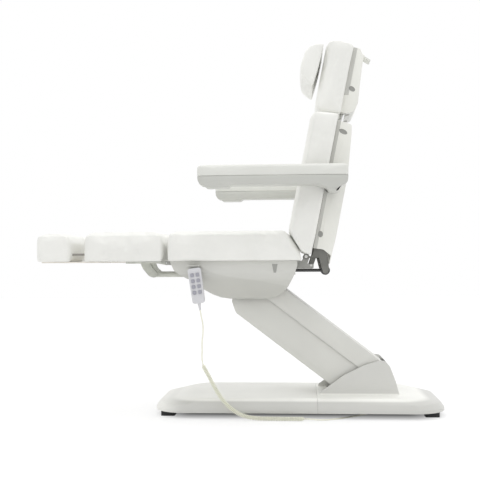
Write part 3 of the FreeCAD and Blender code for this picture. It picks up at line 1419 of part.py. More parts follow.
def make_curl():
    pieces = curl_line()
    total = sum(piece_length(piece) for piece in pieces)
    radius = (curl_outside - curl_wire) / 2
    across = Vector(0, 1, 0)
    tail = curl_wire
    lead_in = curl_outside / 2
    turns_from, turns_to = tail + lead_in, total - tail - lead_in

    def helix_point(turn):
        """A point of the wire's middle and its direction, after a number of turns."""
        along = turns_from + (turns_to - turns_from) * turn / curl_count
        centre, way = line_point(pieces, along)
        side = way.cross(across)
        angle = 2 * math.pi * turn
        out = side * math.cos(angle) + across * math.sin(angle)
        return centre + out * radius, centre, way, out

    def helix_way(turn, step=small_step):
        ahead, behind = helix_point(turn + step)[0], helix_point(turn - step)[0]
        way = ahead - behind
        way.normalize()
        return way

    steps = [i / steps_per_turn for i in range(steps_per_turn * curl_count + 1)]
    points = [helix_point(turn)[0] for turn in steps]
    ways = [helix_way(min(max(turn, small_step), curl_count - small_step)) for turn in steps]
    start, start_way = line_point(pieces, lead_clearance)
    end, end_way = line_point(pieces, total - lead_clearance)
    start_in, end_out = start + start_way * tail, end - end_way * tail
    edges = [Part.LineSegment(start, start_in).toShape()]
    edges += biarc(start_in, start_way, points[0], ways[0])
    for a, wa, b, wb in zip(points, ways, points[1:], ways[1:]):
        edges += biarc(a, wa, b, wb)
    edges += biarc(points[-1], ways[-1], end_out, end_way)
    edges.append(Part.LineSegment(end_out, end).toShape())
    path = Part.Wire(edges)
    profile = Part.Wire([Part.makeCircle(curl_wire / 2, start, start_way)])
    tube = path.makePipeShell([profile], True, False)
    volume = math.pi * (curl_wire / 2) ** 2 * path.Length
    next_turn = range(steps_per_turn - 1, 2 * steps_per_turn + 1)
    apart = [(points[i] - points[i + j]).Length for j in next_turn for i in range(len(points) - j)]
    print("curly_cord middle line", round(total, 1), "wire", round(path.Length, 1))
    print("least gap", round(min(apart) - curl_wire, 2))
    print("curly_cord volume", round(tube.Volume), "of", round(volume))
    keep("curly_cord", tube)


def main():
    make_base()
    make_arm()
    make_carrier()
    make_seat()
    make_handset()
    make_back()
    make_armrests()
    make_headrest()
    make_legs()
    make_leads()
    make_curl()
    os.makedirs("parts", exist_ok=True)
    for name, shape in nodes.items():
        shape.translated(Vector(-origin_x, 0, 0)).exportStep(f"parts/{name}.step")
    print(len(nodes), "nodes, origin", round(origin_x, 2))


if __name__ == "__main__":
    main()
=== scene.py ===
import json
import math
import bmesh
import bpy
from mathutils import Matrix, Vector


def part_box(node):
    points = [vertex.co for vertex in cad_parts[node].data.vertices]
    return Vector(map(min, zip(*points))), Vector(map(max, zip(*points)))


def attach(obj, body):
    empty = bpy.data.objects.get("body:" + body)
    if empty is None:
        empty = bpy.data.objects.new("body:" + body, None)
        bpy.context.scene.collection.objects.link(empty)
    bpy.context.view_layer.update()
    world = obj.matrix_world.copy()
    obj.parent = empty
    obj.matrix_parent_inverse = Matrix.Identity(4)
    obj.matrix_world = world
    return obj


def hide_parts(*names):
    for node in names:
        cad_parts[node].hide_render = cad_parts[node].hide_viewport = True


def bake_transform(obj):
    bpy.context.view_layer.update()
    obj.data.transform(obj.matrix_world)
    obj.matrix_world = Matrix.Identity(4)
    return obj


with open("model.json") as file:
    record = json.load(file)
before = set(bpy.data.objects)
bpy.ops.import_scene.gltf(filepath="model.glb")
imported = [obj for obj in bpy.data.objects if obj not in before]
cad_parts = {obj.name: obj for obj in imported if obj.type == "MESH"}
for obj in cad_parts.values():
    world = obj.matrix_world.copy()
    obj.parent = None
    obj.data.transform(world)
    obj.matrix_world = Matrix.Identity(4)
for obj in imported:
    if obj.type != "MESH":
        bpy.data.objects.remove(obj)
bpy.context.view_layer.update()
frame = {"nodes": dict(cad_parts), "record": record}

scene = bpy.context.scene
mm = 0.001
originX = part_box("lift_pins")[0][0] - 0.195   # the lower base pin starts 195 mm behind the CAD source's own origin
bodyOf = {node: body for body, nodes in frame["record"]["behaviour"]["bodies"].items() for node in nodes}
sides = (("left", -1), ("right", 1))


def at(x, y, z):   # millimetres, as the CAD source counts them
    return Vector((x * mm + originX, y * mm, z * mm))


# its place in the CAD source's millimetres, focal length and turns in pixels of the photo, roll in degrees
cameraView = {"x": -10, "y": -3600, "z": 595, "focalPixels": 880, "right": 58, "down": 22.5, "roll": 0.3}


def aimCamera():
    yaw = math.atan(cameraView["right"] / cameraView["focalPixels"])
    pitch = math.atan(cameraView["down"] / cameraView["focalPixels"])
    roll = math.radians(cameraView["roll"])
    ahead = Vector((-math.sin(yaw) * math.cos(pitch), math.cos(yaw) * math.cos(pitch), math.sin(pitch)))
    right = Vector((math.cos(yaw), math.sin(yaw), 0))
    up = right.cross(ahead)
    turnedRight = right * math.cos(roll) - up * math.sin(roll)
    turnedUp = up * math.cos(roll) + right * math.sin(roll)
    data = bpy.data.cameras.new("chairCamera")
    data.lens = data.sensor_width * cameraView["focalPixels"] / 480
    data.clip_end = 30
    camera = bpy.data.objects.new("chairCamera", data)
    scene.collection.objects.link(camera)
    turn = Matrix((turnedRight, turnedUp, -ahead)).transposed().to_4x4()
    camera.matrix_world = Matrix.Translation(at(cameraView["x"], cameraView["y"], cameraView["z"])) @ turn
    scene.camera = camera


aimCamera()
print("camera set")


def startMaterial(name, roughness=0.5, metallic=0.0):
    material = bpy.data.materials.new(name)
    material.use_nodes = True
    nodes, links = material.node_tree.nodes, material.node_tree.links
    shader = nodes["Principled BSDF"]
    shader.inputs["Roughness"].default_value = roughness
    shader.inputs["Metallic"].default_value = metallic
    place = nodes.new("ShaderNodeTexCoord").outputs["Object"]
    return material, nodes, links, shader, place


def noiseOn(nodes, links, place, scale, detail=3.0, rough=0.5):
    noise = nodes.new("ShaderNodeTexNoise")
    noise.inputs["Scale"].default_value = scale
    noise.inputs["Detail"].default_value = detail
    noise.inputs["Roughness"].default_value = rough
    links.new(place, noise.inputs["Vector"])
    return noise.outputs["Fac"]


def blendColours(nodes, links, factor, dark, light, low=0.35, high=0.65):
    ramp = nodes.new("ShaderNodeValToRGB")
    ramp.color_ramp.elements[0].position = low
    ramp.color_ramp.elements[1].position = high
    ramp.color_ramp.elements[0].color = (*dark, 1)
    ramp.color_ramp.elements[1].color = (*light, 1)
    links.new(factor, ramp.inputs["Fac"])
    return ramp.outputs["Color"]


def spread(nodes, links, factor, low, high):
    span = nodes.new("ShaderNodeMapRange")
    span.inputs["To Min"].default_value = low
    span.inputs["To Max"].default_value = high
    links.new(factor, span.inputs["Value"])
    return span.outputs["Result"]


def bumpFrom(nodes, links, height, distance, strength, before=None):
    bump = nodes.new("ShaderNodeBump")
    bump.inputs["Distance"].default_value = distance
    bump.inputs["Strength"].default_value = strength
    links.new(height, bump.inputs["Height"])
    if before:
        links.new(before, bump.inputs["Normal"])
    return bump.outputs["Normal"]


def shade(colour, factor):
    return tuple(min(c * factor, 1) for c in colour)


def coatedLeather(name, colour):   # smooth artificial leather with a fine pebbled grain
    material, nodes, links, shader, place = startMaterial(name, 0.42)
    tone = noiseOn(nodes, links, place, 7, 4)
    paint = blendColours(nodes, links, tone, shade(colour, 0.965), shade(colour, 1.02))
    links.new(paint, shader.inputs["Base Color"])
    grain = nodes.new("ShaderNodeTexVoronoi")
    grain.inputs["Scale"].default_value = 620
    links.new(place, grain.inputs["Vector"])
    links.new(spread(nodes, links, noiseOn(nodes, links, place, 35, 2), 0.36, 0.5), shader.inputs["Roughness"])
    soft = bumpFrom(nodes, links, noiseOn(nodes, links, place, 22, 3, 0.45), 0.004, 0.10)
    links.new(bumpFrom(nodes, links, grain.outputs["Distance"], 0.0006, 0.22, soft), shader.inputs["Normal"])
    shader.inputs["Coat Weight"].default_value = 0.12
    shader.inputs["Coat Roughness"].default_value = 0.35
    return material


def mouldedPlastic(name, colour, roughness=0.4, stipple=0.12):   # painted or moulded shell, faintly stippled
    material, nodes, links, shader, place = startMaterial(name, roughness)
    tone = noiseOn(nodes, links, place, 5, 5, 0.55)
    paint = blendColours(nodes, links, tone, shade(colour, 0.97), shade(colour, 1.015))
    links.new(paint, shader.inputs["Base Color"])
    links.new(spread(nodes, links, noiseOn(nodes, links, place, 48, 3), roughness - 0.05, roughness + 0.07),
              shader.inputs["Roughness"])
    fine = noiseOn(nodes, links, place, 1500, 2)
    wave = bumpFrom(nodes, links, noiseOn(nodes, links, place, 9, 2), 0.003, 0.05)
    links.new(bumpFrom(nodes, links, fine, 0.0003, stipple, wave), shader.inputs["Normal"])
    return material


def coatedSteel(name, colour, roughness=0.38, metallic=0.0):   # powder coat or paint over steel, with dull patches
    material, nodes, links, shader, place = startMaterial(name, roughness, metallic)
    tone = noiseOn(nodes, links, place, 26, 6, 0.6)
    paint = blendColours(nodes, links, tone, shade(colour, 0.86), shade(colour, 1.06))
    links.new(paint, shader.inputs["Base Color"])
    links.new(spread(nodes, links, noiseOn(nodes, links, place, 90, 3), roughness - 0.08, roughness + 0.12),
              shader.inputs["Roughness"])
    links.new(bumpFrom(nodes, links, noiseOn(nodes, links, place, 700, 2), 0.0004, 0.2), shader.inputs["Normal"])
    return material


def brushedMetal(name, colour, roughness=0.3, stretch=(30, 900, 900)):   # lathe or brush marks along one way
    material, nodes, links, shader, place = startMaterial(name, roughness, 1.0)
    mapping = nodes.new("ShaderNodeMapping")
    mapping.inputs["Scale"].default_value = stretch
    links.new(place, mapping.inputs["Vector"])
    marks = noiseOn(nodes, links, mapping.outputs["Vector"], 1, 4, 0.6)
    paint = blendColours(nodes, links, marks, shade(colour, 0.85), shade(colour, 1.05))
    links.new(paint, shader.inputs["Base Color"])
    links.new(spread(nodes, links, marks, roughness - 0.08, roughness + 0.1), shader.inputs["Roughness"])
    links.new(bumpFrom(nodes, links, marks, 0.0002, 0.25), shader.inputs["Normal"])
    return material


finish = {
    "leather": coatedLeather("whiteLeather", (0.855, 0.855, 0.82)),
    "casing": mouldedPlastic("greyCasing", (0.64, 0.64, 0.605), 0.38),
    "arm": mouldedPlastic("greyArm", (0.70, 0.70, 0.66), 0.36),
    "base": mouldedPlastic("whiteBase", (0.93, 0.93, 0.885), 0.33),
    "backShell": mouldedPlastic("paleShell", (0.85, 0.85, 0.80), 0.42),
    "armrest": mouldedPlastic("armrestGrey", (0.56, 0.565, 0.53), 0.42, 0.2),
    "armrestPad": mouldedPlastic("armrestPad", (0.745, 0.75, 0.71), 0.45, 0.25),
    "black": mouldedPlastic("blackPlastic", (0.02, 0.02, 0.022), 0.5, 0.25),
    "rubber": mouldedPlastic("footRubber", (0.035, 0.035, 0.037), 0.75, 0.4),
    "steel": coatedSteel("zincSteel", (0.19, 0.19, 0.175), 0.4, 0.3),
    "plate": coatedSteel("zincPlate", (0.34, 0.34, 0.32), 0.4, 0.2),
    "paintedSteel": coatedSteel("greyPaintedSteel", (0.62, 0.63, 0.575), 0.4, 0.1),
    "hidden": coatedSteel("darkSteel", (0.09, 0.09, 0.09), 0.5, 0.4),
    "bright": brushedMetal("turnedSteel", (0.62, 0.62, 0.6), 0.28),
    "chrome": brushedMetal("chromedRod", (0.78, 0.78, 0.78), 0.12),
    "handset": mouldedPlastic("handsetShell", (0.68, 0.68, 0.70), 0.4, 0.2),
    "button": mouldedPlastic("buttonPad", (0.38, 0.38, 0.43), 0.6, 0.3),
    "cord": mouldedPlastic("creamCord", (0.90, 0.90, 0.77), 0.45, 0.1),
    "slide": coatedSteel("slideSteel", (0.80, 0.765, 0.70), 0.42, 0.1),
    # a darker copy of the pale shell, painted shade on its front strip
    "shadeShell": mouldedPlastic("shadedShell", (0.57, 0.57, 0.535), 0.45),
    # for the floors of pockets and of the casing's wedge, darker as painted shade
    "recess": mouldedPlastic("paintedRecessShade", (0.36, 0.36, 0.34), 0.5, 0.2),
}


def axisOf(nodes, links, axis):   # one of the piece's own coordinates, in metres
    apart = nodes.new("ShaderNodeSeparateXYZ")
    links.new(nodes.new("ShaderNodeTexCoord").outputs["Object"], apart.inputs["Vector"])
    return apart.outputs[axis]


def rangeOf(nodes, links, value, low, high, ends=(0, 1), smooth=False):   # one end at low, the other at high
    span = nodes.new("ShaderNodeMapRange")
    if smooth:
        span.interpolation_type = "SMOOTHSTEP"
    span.inputs["From Min"].default_value, span.inputs["From Max"].default_value = low, high
    span.inputs["To Min"].default_value, span.inputs["To Max"].default_value = ends
    links.new(value, span.inputs["Value"])
    return span.outputs["Result"]


def mathOf(nodes, links, operation, *values):   # each value a number or another node's output
    step = nodes.new("ShaderNodeMath")
    step.operation = operation
    for value, place in zip(values, step.inputs):
        if isinstance(value, (int, float)):
            place.default_value = value
        else:
            links.new(value, place)
    return step.outputs["Value"]


def maskAlong(material, axis, low, high, ends=(0, 1)):
    nodes, links = material.node_tree.nodes, material.node_tree.links
    return rangeOf(nodes, links, axisOf(nodes, links, axis), low, high, ends, True)


def tintWhere(material, mask, tint):   # the base colour darkened where the mask is 1
    nodes, links = material.node_tree.nodes, material.node_tree.links
    target = material.node_tree.nodes["Principled BSDF"].inputs["Base Color"]
    source = target.links[0].from_socket
    mix = nodes.new("ShaderNodeMix")
    mix.data_type = "RGBA"
    mix.blend_type = "MULTIPLY"
    mix.inputs[7].default_value = (*tint, 1)
    links.new(mask, mix.inputs[0])
    links.new(source, mix.inputs[6])
    links.new(mix.outputs[2], target)


# painted shade: the casing's colour is darkened below a soft crease, where its lower half falls away from the light:
# (x, z) along it in the CAD source's millimetres
creaseLine = [
    (-420, 598), (-390, 590), (-363, 571), (-333, 556), (-287, 544),
    (-211, 532), (-136, 521), (-60, 505), (-15, 498),
]
creaseShade = {"soft": 9, "tint": (0.93, 0.93, 0.925)}


# the mask of the painted shade on the casing, 1 below the crease
def creaseMask(material):
    nodes, links = material.node_tree.nodes, material.node_tree.links
    first, last = creaseLine[0], creaseLine[-1]
    along = rangeOf(nodes, links, axisOf(nodes, links, "X"), at(first[0], 0, 0).x, at(last[0], 0, 0).x)
    curve = nodes.new("ShaderNodeFloatCurve")
    points = curve.mapping.curves[0].points
    low, high = last[1], first[1]
    for i, (x, z) in enumerate(creaseLine):
        place = ((x - first[0]) / (last[0] - first[0]), (z - low) / (high - low))
        if i in (0, len(creaseLine) - 1):
            points[min(i, 1) * (len(points) - 1)].location = place
        else:
            points.new(*place)
    curve.mapping.update()
    links.new(along, curve.inputs["Value"])
    level = rangeOf(nodes, links, curve.outputs["Value"], 0, 1, (low * mm, high * mm))
    under = mathOf(nodes, links, "SUBTRACT", level, axisOf(nodes, links, "Z"))
    soft = creaseShade["soft"] * mm / 2
    return rangeOf(nodes, links, under, -soft, soft, (0, 1), True)


# heights in metres between which a tint sets in, and how far behind its front end the base takes it on; the tints on
# the base's sides and column are painted shade
slideRods = {"from": 0.612, "to": 0.614, "tint": (0.34, 0.34, 0.34)}
baseSideShade = {"from": 0.061, "to": 0.070, "tint": (0.69, 0.69, 0.69), "ahead": 0.02, "behind": 0.13}
baseCowlShade = {"from": 0.078, "to": 0.084, "tint": (0.71, 0.71, 0.71)}


# painted shade on the casing and on the base's sides and column, and the slide's rods in their own darker colour
def tintPlaces():
    # painted shade on the casing below its crease
    tintWhere(finish["casing"], creaseMask(finish["casing"]), creaseShade["tint"])
    paint = finish["slide"]
    tintWhere(paint, maskAlong(paint, "Z", slideRods["from"], slideRods["to"]), slideRods["tint"])
    # painted shade on the base's sides behind its front end, and on its column
    paint = finish["base"]
    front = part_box("base_front_cover")[0][0]
    below = maskAlong(paint, "Z", baseSideShade["from"], baseSideShade["to"], (1, 0))
    behind = maskAlong(paint, "X", front + baseSideShade["ahead"], front + baseSideShade["behind"])
    both = mathOf(paint.node_tree.nodes, paint.node_tree.links, "MULTIPLY", below, behind)
    tintWhere(paint, both, baseSideShade["tint"])
    tintWhere(paint, maskAlong(paint, "Z", baseCowlShade["from"], baseCowlShade["to"]), baseCowlShade["tint"])


tintPlaces()
print("materials made")


leadRoute = [   # the same points as the CAD source
    (-380.8, -286.0, 416.1), (-377.8, -286.0, 394.9), (-370.5, -285.0, 364.0), (-369.5, -287.0, 330.0),
    (-374.5, -288.0, 296.0), (-373.5, -285.5, 264.0), (-375.5, -284.0, 238.0), (-373.5, -284.0, 222.0),
]
curlRoute = [
    (-371.0, -284.0, 205.0), (-353.0, -284.0, 176.0), (-335.0, -284.0, 140.0), (-315.0, -284.0, 104.0),
    (-291.0, -284.0, 70.0), (-262.0, -284.0, 42.0), (-224.0, -284.0, 19.0), (-176.0, -284.0, 9.6),
    (-116.0, -284.0, 8.9), (-62.0, -284.0, 8.6), (-14.0, -284.0, 8.9),
]
floorRoute = [
    (22.0, -284.0, 8.5), (34.0, -284.0, 8.3), (58.0, -281.0, 5.2), (92.0, -268.0, 2.9),
    (128.0, -246.0, 2.8), (166.0, -218.0, 2.9), (204.0, -192.0, 5.0), (238.0, -178.5, 9.5),
    (262.0, -176.0, 13.6), (277.0, -176.0, 13.6),
]
cordSizes = {"leadDiameter": 5.5, "curlWire": 4.4, "curlOutside": 17.0, "turns": 80, "tail": 12, "cuts": (345, 290)}


def splineCurve(name, route, diameter, resolution=24):
    data = bpy.data.curves.new(name, "CURVE")
    data.dimensions = "3D"
    data.resolution_u = resolution
    data.bevel_depth = diameter / 2 * mm
    data.bevel_resolution = 4
    data.use_fill_caps = True
    spline = data.splines.new("NURBS")
    spline.points.add(len(route) - 1)
    for point, (x, y, z) in zip(spline.points, route):
        point.co = (*at(x, y, z), 1)
    spline.order_u = 3
    spline.use_endpoint_u = True
    curve = bpy.data.objects.new(name, data)
    scene.collection.objects.link(curve)
    return curve


def lineOf(curve):   # the spline's own points, read with its bevel off
    depth = curve.data.bevel_depth
    curve.data.bevel_depth = 0
    bpy.context.view_layer.update()
    mesh = bpy.data.meshes.new_from_object(curve)
    points = [vertex.co.copy() for vertex in mesh.vertices]
    bpy.data.meshes.remove(mesh)
    curve.data.bevel_depth = depth
    return points


def lengthOf(points):
    return sum((b - a).length for a, b in zip(points, points[1:]))


def tubeAlong(name, points, diameter, sideCount=12):   # a round tube whose rings follow the points
    bm = bmesh.new()
    ring = bmesh.ops.create_circle(bm, cap_ends=True, segments=sideCount, radius=diameter / 2 * mm)["verts"]
    ways = [(points[min(i + 1, len(points) - 1)] - points[max(i - 1, 0)]).normalized() for i in range(len(points))]
    turn = ways[0].to_track_quat("Z", "Y")
    bmesh.ops.rotate(bm, verts=ring, matrix=turn.to_matrix())
    bmesh.ops.translate(bm, verts=ring, vec=points[0])
    face = bm.faces[:][0]
    for i in range(1, len(points)):
        made = bmesh.ops.extrude_face_region(bm, geom=[face])["geom"]
        ring = [item for item in made if isinstance(item, bmesh.types.BMVert)]
        if i > 1:
            bm.faces.remove(face)
        face = next(item for item in made if isinstance(item, bmesh.types.BMFace))
        bmesh.ops.translate(bm, verts=ring, vec=points[i] - points[i - 1])
        swing = ways[i - 1].rotation_difference(ways[i]).to_matrix()
        bmesh.ops.rotate(bm, verts=ring, cent=points[i], matrix=swing)
    bmesh.ops.recalc_face_normals(bm, faces=bm.faces)
    return meshPiece(name, bm)


def meshPiece(name, bm, angle=180):
    mesh = bpy.data.meshes.new(name)
    bm.to_mesh(mesh)
    bm.free()
    piece = bpy.data.objects.new(name, mesh)
    scene.collection.objects.link(piece)
    mesh.shade_smooth()
    if angle < 180:
        mesh.set_sharp_from_angle(angle=math.radians(angle))
    return piece


def helixPoints(line, outside, wire, turns, perTurn=14):   # a coil whose middle follows the line
    total = lengthOf(line)
    reach = [0.0]
    for a, b in zip(line, line[1:]):
        reach.append(reach[-1] + (b - a).length)
    across = Vector((0, 1, 0))
    radius = (outside - wire) / 2 * mm
    tail = cordSizes["tail"] * mm
    made, i = [line[0].copy()], 0
    steps = turns * perTurn
    for step in range(steps + 1):
        along = tail + (total - 2 * tail) * step / steps
        while reach[i + 1] < along:
            i += 1
        share = (along - reach[i]) / (reach[i + 1] - reach[i])
        centre = line[i].lerp(line[i + 1], share)
        way = (line[i + 1] - line[i]).normalized()
        side = way.cross(across).normalized()
        angle = 2 * math.pi * step / perTurn
        ease = min(1, step / perTurn, (steps - step) / perTurn)
        made.append(centre + (side * math.cos(angle) + across * math.sin(angle)) * radius * max(ease, 0.02))
    made.append(line[-1].copy())
    return made


def layCords():
    lead = splineCurve("handsetLeadLine", leadRoute, cordSizes["leadDiameter"])
    leadLine = lineOf(lead)
    bpy.data.objects.remove(lead)
    cuts = [min(range(len(leadLine)), key=lambda i: abs(leadLine[i].z - z * mm)) for z in cordSizes["cuts"]]
    top, middle, foot = leadLine[:cuts[0] + 1], leadLine[cuts[0]:cuts[1] + 1], leadLine[cuts[1]:]
    curl = splineCurve("curlLine", [leadRoute[-1]] + curlRoute + [floorRoute[0]], cordSizes["curlWire"])
    curlLine = lineOf(curl)
    bpy.data.objects.remove(curl)
    helix = helixPoints(curlLine, cordSizes["curlOutside"], cordSizes["curlWire"], cordSizes["turns"])
    print("cord lengths in mm", [round(lengthOf(p) / mm, 1) for p in (leadLine, curlLine, helix)])
    thick = cordSizes["leadDiameter"]
    for name, points, diameter, bodies, start, end, node in (
        ("handsetLeadTop", top, thick, ("seat", "carrier"), 416, 345, "handset_lead"),
        ("handsetLeadMiddle", middle, thick, ("carrier", "lower_arm"), 345, 290, "handset_lead"),
        ("handsetLeadFoot", foot, thick, ("lower_arm", "root"), 290, 20, "handset_lead"),
        ("curlyCord", helix, cordSizes["curlWire"], ("lower_arm", "root"), 290, 20, "curly_cord"),
    ):
        piece = tubeAlong(name, points, diameter, 10)
        piece.data.materials.append(finish["cord"])
        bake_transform(piece)
        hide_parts(node)
    floor = splineCurve("floorLead", floorRoute, cordSizes["leadDiameter"])
    floorLine = lineOf(floor)
    floor.data.materials.append(finish["cord"])
    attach(floor, "root")
    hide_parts("floor_lead")
    print("floor lead in mm", round(lengthOf(floorLine) / mm, 1))


layCords()
print("cords laid")


cushionMake = {"voxel": 7.5, "pressure": 4.0, "frames": 20, "startInside": 4.0, "seamWidth": 2.2, "seamDepth": 0.8,
               "fitDepth": 60.0, "fitOver": 3.0, "sunk": 9.0}
# outline points in side view, the radius at each, the width from side to side, how far the cloth may swell,
# "reach": how far past its outline each side (by number) ends, "rest": the side that lies on its board,
# and seams as (side, inset)
cushions = {
    "seatCushion": {
        "node": "seat_cushion", "outline": [(-507.1, 601.5), (19.9, 601.5), (-48.1, 711.5), (-507.1, 711.5)],
        "rounds": [9, 10, 7, 24], "across": (-300, 300), "edge": 17, "swell": 12,
        "reach": {0: 0, 1: 1, 2: 4, 3: 0}, "rest": 0, "seams": [(2, 15)],
    },
    "backCushion": {
        "node": "back_cushion",
        "outline": [(-43.1, 714.0), (47.8, 1166.0), (146.6, 1155.3), (40.4, 618.7), (9.0, 633.0)],
        "rounds": [7, 20, 7, 9, 12], "across": (-300, 300), "edge": 17, "swell": 12,
        "reach": {0: 3, 1: 1, 2: 0, 3: 0, 4: 4}, "rest": 2, "seams": [(0, 15)],
    },
    "headrestCushion": {
        "node": "headrest_cushion",
        "outline": [(57.7, 1190.2), (157.8, 1170.4), (211.0, 1439.0), (181.1, 1463.4), (112.8, 1468.4)],
        "rounds": [18, 5, 7, 36, 14], "across": (-170, 170), "edge": 14, "swell": 10,
        "reach": {0: 0, 1: 0, 2: 0, 3: 0, 4: 2}, "rest": 1, "seams": [(4, 14)],
    },
    "headrestPillow": {
        "node": "headrest_pillow", "outline": [(53.2, 1278.8), (98.9, 1449.1), (32.9, 1449.6), (-5.3, 1335.2)],
        "rounds": [6, 8, 44, 50], "across": (-175, 175), "edge": 9, "swell": 8,
        "reach": {0: 0, 1: 0, 2: 0, 3: 0}, "rest": 0, "seams": [],
    },
}
for side, way in sides:
    inner, outer = sorted((10 * way, 300 * way)), sorted((315 * way, 405 * way))
    cushions[side + "LegCushion"] = {
        "node": side + "_leg_cushion", "across": inner,
        "outline": [(-830.4, 601.5), (-521.4, 601.5), (-521.4, 710.5), (-830.4, 710.5)],
        "rounds": [12, 8, 24, 26], "edge": 17, "swell": 11, "reach": {0: 0, 1: 0, 2: 4, 3: 0}, "rest": 0,
        "seams": [(2, 15)],
    }
    cushions[side + "FootCushion"] = {
        "node": side + "_foot_cushion", "across": inner,
        "outline": [(-1009.4, 601.5), (-879.4, 601.5), (-879.4, 707.5), (-1009.4, 707.5)],
        "rounds": [14, 10, 26, 24], "edge": 17, "swell": 10, "reach": {0: 0, 1: 0, 2: 2, 3: 5}, "rest": 0,
        "seams": [(2, 15)],
    }
    cushions[side + "ArmrestPad"] = {
        "node": side + "_armrest_pad", "across": outer,
        "outline": [(-377.4, 912.8), (174.6, 912.8), (174.6, 954.5), (-377.4, 954.5)],
        "rounds": [4, 4, 14, 18], "edge": 12, "swell": 7, "reach": {0: 0, 1: 0, 2: 0, 3: 0}, "rest": 0,
        "seams": [], "voxel": 5.0,
    }


def outlineBlock(make, segments=4):   # a side outline drawn across, with every edge rounded
    bm = bmesh.new()
    across, edge = make["across"], make["edge"]
    corners = [bm.verts.new(at(x, across[0], z)) for x, z in make["outline"]]
    rest = make["rest"]
    away = sidePlane(make, rest)[1] * cushionMake["sunk"] * mm   # past its board, then cut flat on it
    for corner in (corners[rest], corners[(rest + 1) % len(corners)]):
        corner.co += away
    face = bm.faces.new(corners)
    made = bmesh.ops.extrude_face_region(bm, geom=[face])["geom"]
    far = [item for item in made if isinstance(item, bmesh.types.BMVert)]
    bmesh.ops.translate(bm, verts=far, vec=(0, (across[1] - across[0]) * mm, 0))
    for corner, radius in zip(corners, make["rounds"]):
        if radius:
            long = [e for e in corner.link_edges if abs(e.other_vert(corner).co.y - corner.co.y) > mm]
            bmesh.ops.bevel(bm, geom=long, offset=radius * mm, segments=segments, profile=0.5, affect="EDGES")
    bmesh.ops.recalc_face_normals(bm, faces=bm.faces)
    if edge:
        rim = [e for e in bm.edges if abs(e.verts[0].co.y - e.verts[1].co.y) < mm * 0.01
               and e.calc_face_angle(0) > 1.4]
        bmesh.ops.bevel(bm, geom=rim, offset=edge * mm, segments=segments, profile=0.5, affect="EDGES")
    return bm


def settle(piece):   # the piece's modifiers become its mesh
    seen = piece.evaluated_get(bpy.context.evaluated_depsgraph_get())
    mesh = bpy.data.meshes.new_from_object(seen)
    old = piece.data
    piece.modifiers.clear()
    piece.data = mesh
    bpy.data.meshes.remove(old)
    mesh.shade_smooth()


def sidePlane(make, number):   # a point on that side of the outline and its outward normal
    outline = make["outline"]
    following = outline[(number + 1) % len(outline)]
    a, b = at(outline[number][0], 0, outline[number][1]), at(following[0], 0, following[1])
    centre = at(sum(p[0] for p in outline) / len(outline), 0, sum(p[1] for p in outline) / len(outline))
    normal = (b - a).normalized().cross(Vector((0, 1, 0)))
    if normal.dot(centre - a) > 0:
        normal.negate()
    return a, normal


def cutSeam(bm, place, normal):   # a sewn groove all round, where a plane meets the cushion
    middle = []
    for shift in (-cushionMake["seamWidth"] / 2, cushionMake["seamWidth"] / 2, 0):
        every = bm.verts[:] + bm.edges[:] + bm.faces[:]
        made = bmesh.ops.bisect_plane(bm, geom=every, dist=0.0001, plane_co=place + normal * shift * mm,
                                      plane_no=normal)
        middle = [item for item in made["geom_cut"] if isinstance(item, bmesh.types.BMVert)]
    bm.normal_update()
    moves = [(vert, vert.normal.copy()) for vert in middle]
    for vert, out in moves:
        vert.co -= out * cushionMake["seamDepth"] * mm


def makeCushions():
    begun = {}
    for name, make in cushions.items():
        bm = outlineBlock(make)
        bm.normal_update()
        inside = min(cushionMake["startInside"], make["swell"] * 0.5) * mm
        for vert, out in [(v, v.normal.copy()) for v in bm.verts]:
            vert.co -= out * inside
        piece = meshPiece(name, bm)
        remesh = piece.modifiers.new("evenMesh", "REMESH")
        remesh.mode = "VOXEL"
        remesh.voxel_size = make.get("voxel", cushionMake["voxel"]) * mm
        settle(piece)
        cloth = piece.modifiers.new("stuffing", "CLOTH")
        cloth.settings.quality = 3
        cloth.settings.use_pressure = True
        cloth.settings.uniform_pressure_force = cushionMake["pressure"]
        cloth.settings.effector_weights.gravity = 0
        cloth.point_cache.frame_end = cushionMake["frames"]
        begun[name] = piece
    for step in range(1, cushionMake["frames"] + 1):
        scene.frame_set(step)
    for name, piece in begun.items():
        finishCushion(name, piece, cushions[name])


def fitTo(bm, place, normal):   # the side facing that way is brought out to its plane, and nothing stays past it
    over, deep = cushionMake["fitOver"] * mm, cushionMake["fitDepth"] * mm
    short = max(0, over - max((vert.co - place).dot(normal) for vert in bm.verts))
    for vert in bm.verts:
        depth = over - short - (vert.co - place).dot(normal)
        vert.co += normal * short * max(0, 1 - depth / deep)
        past = (vert.co - place).dot(normal)
        if past > 0:
            vert.co -= normal * past


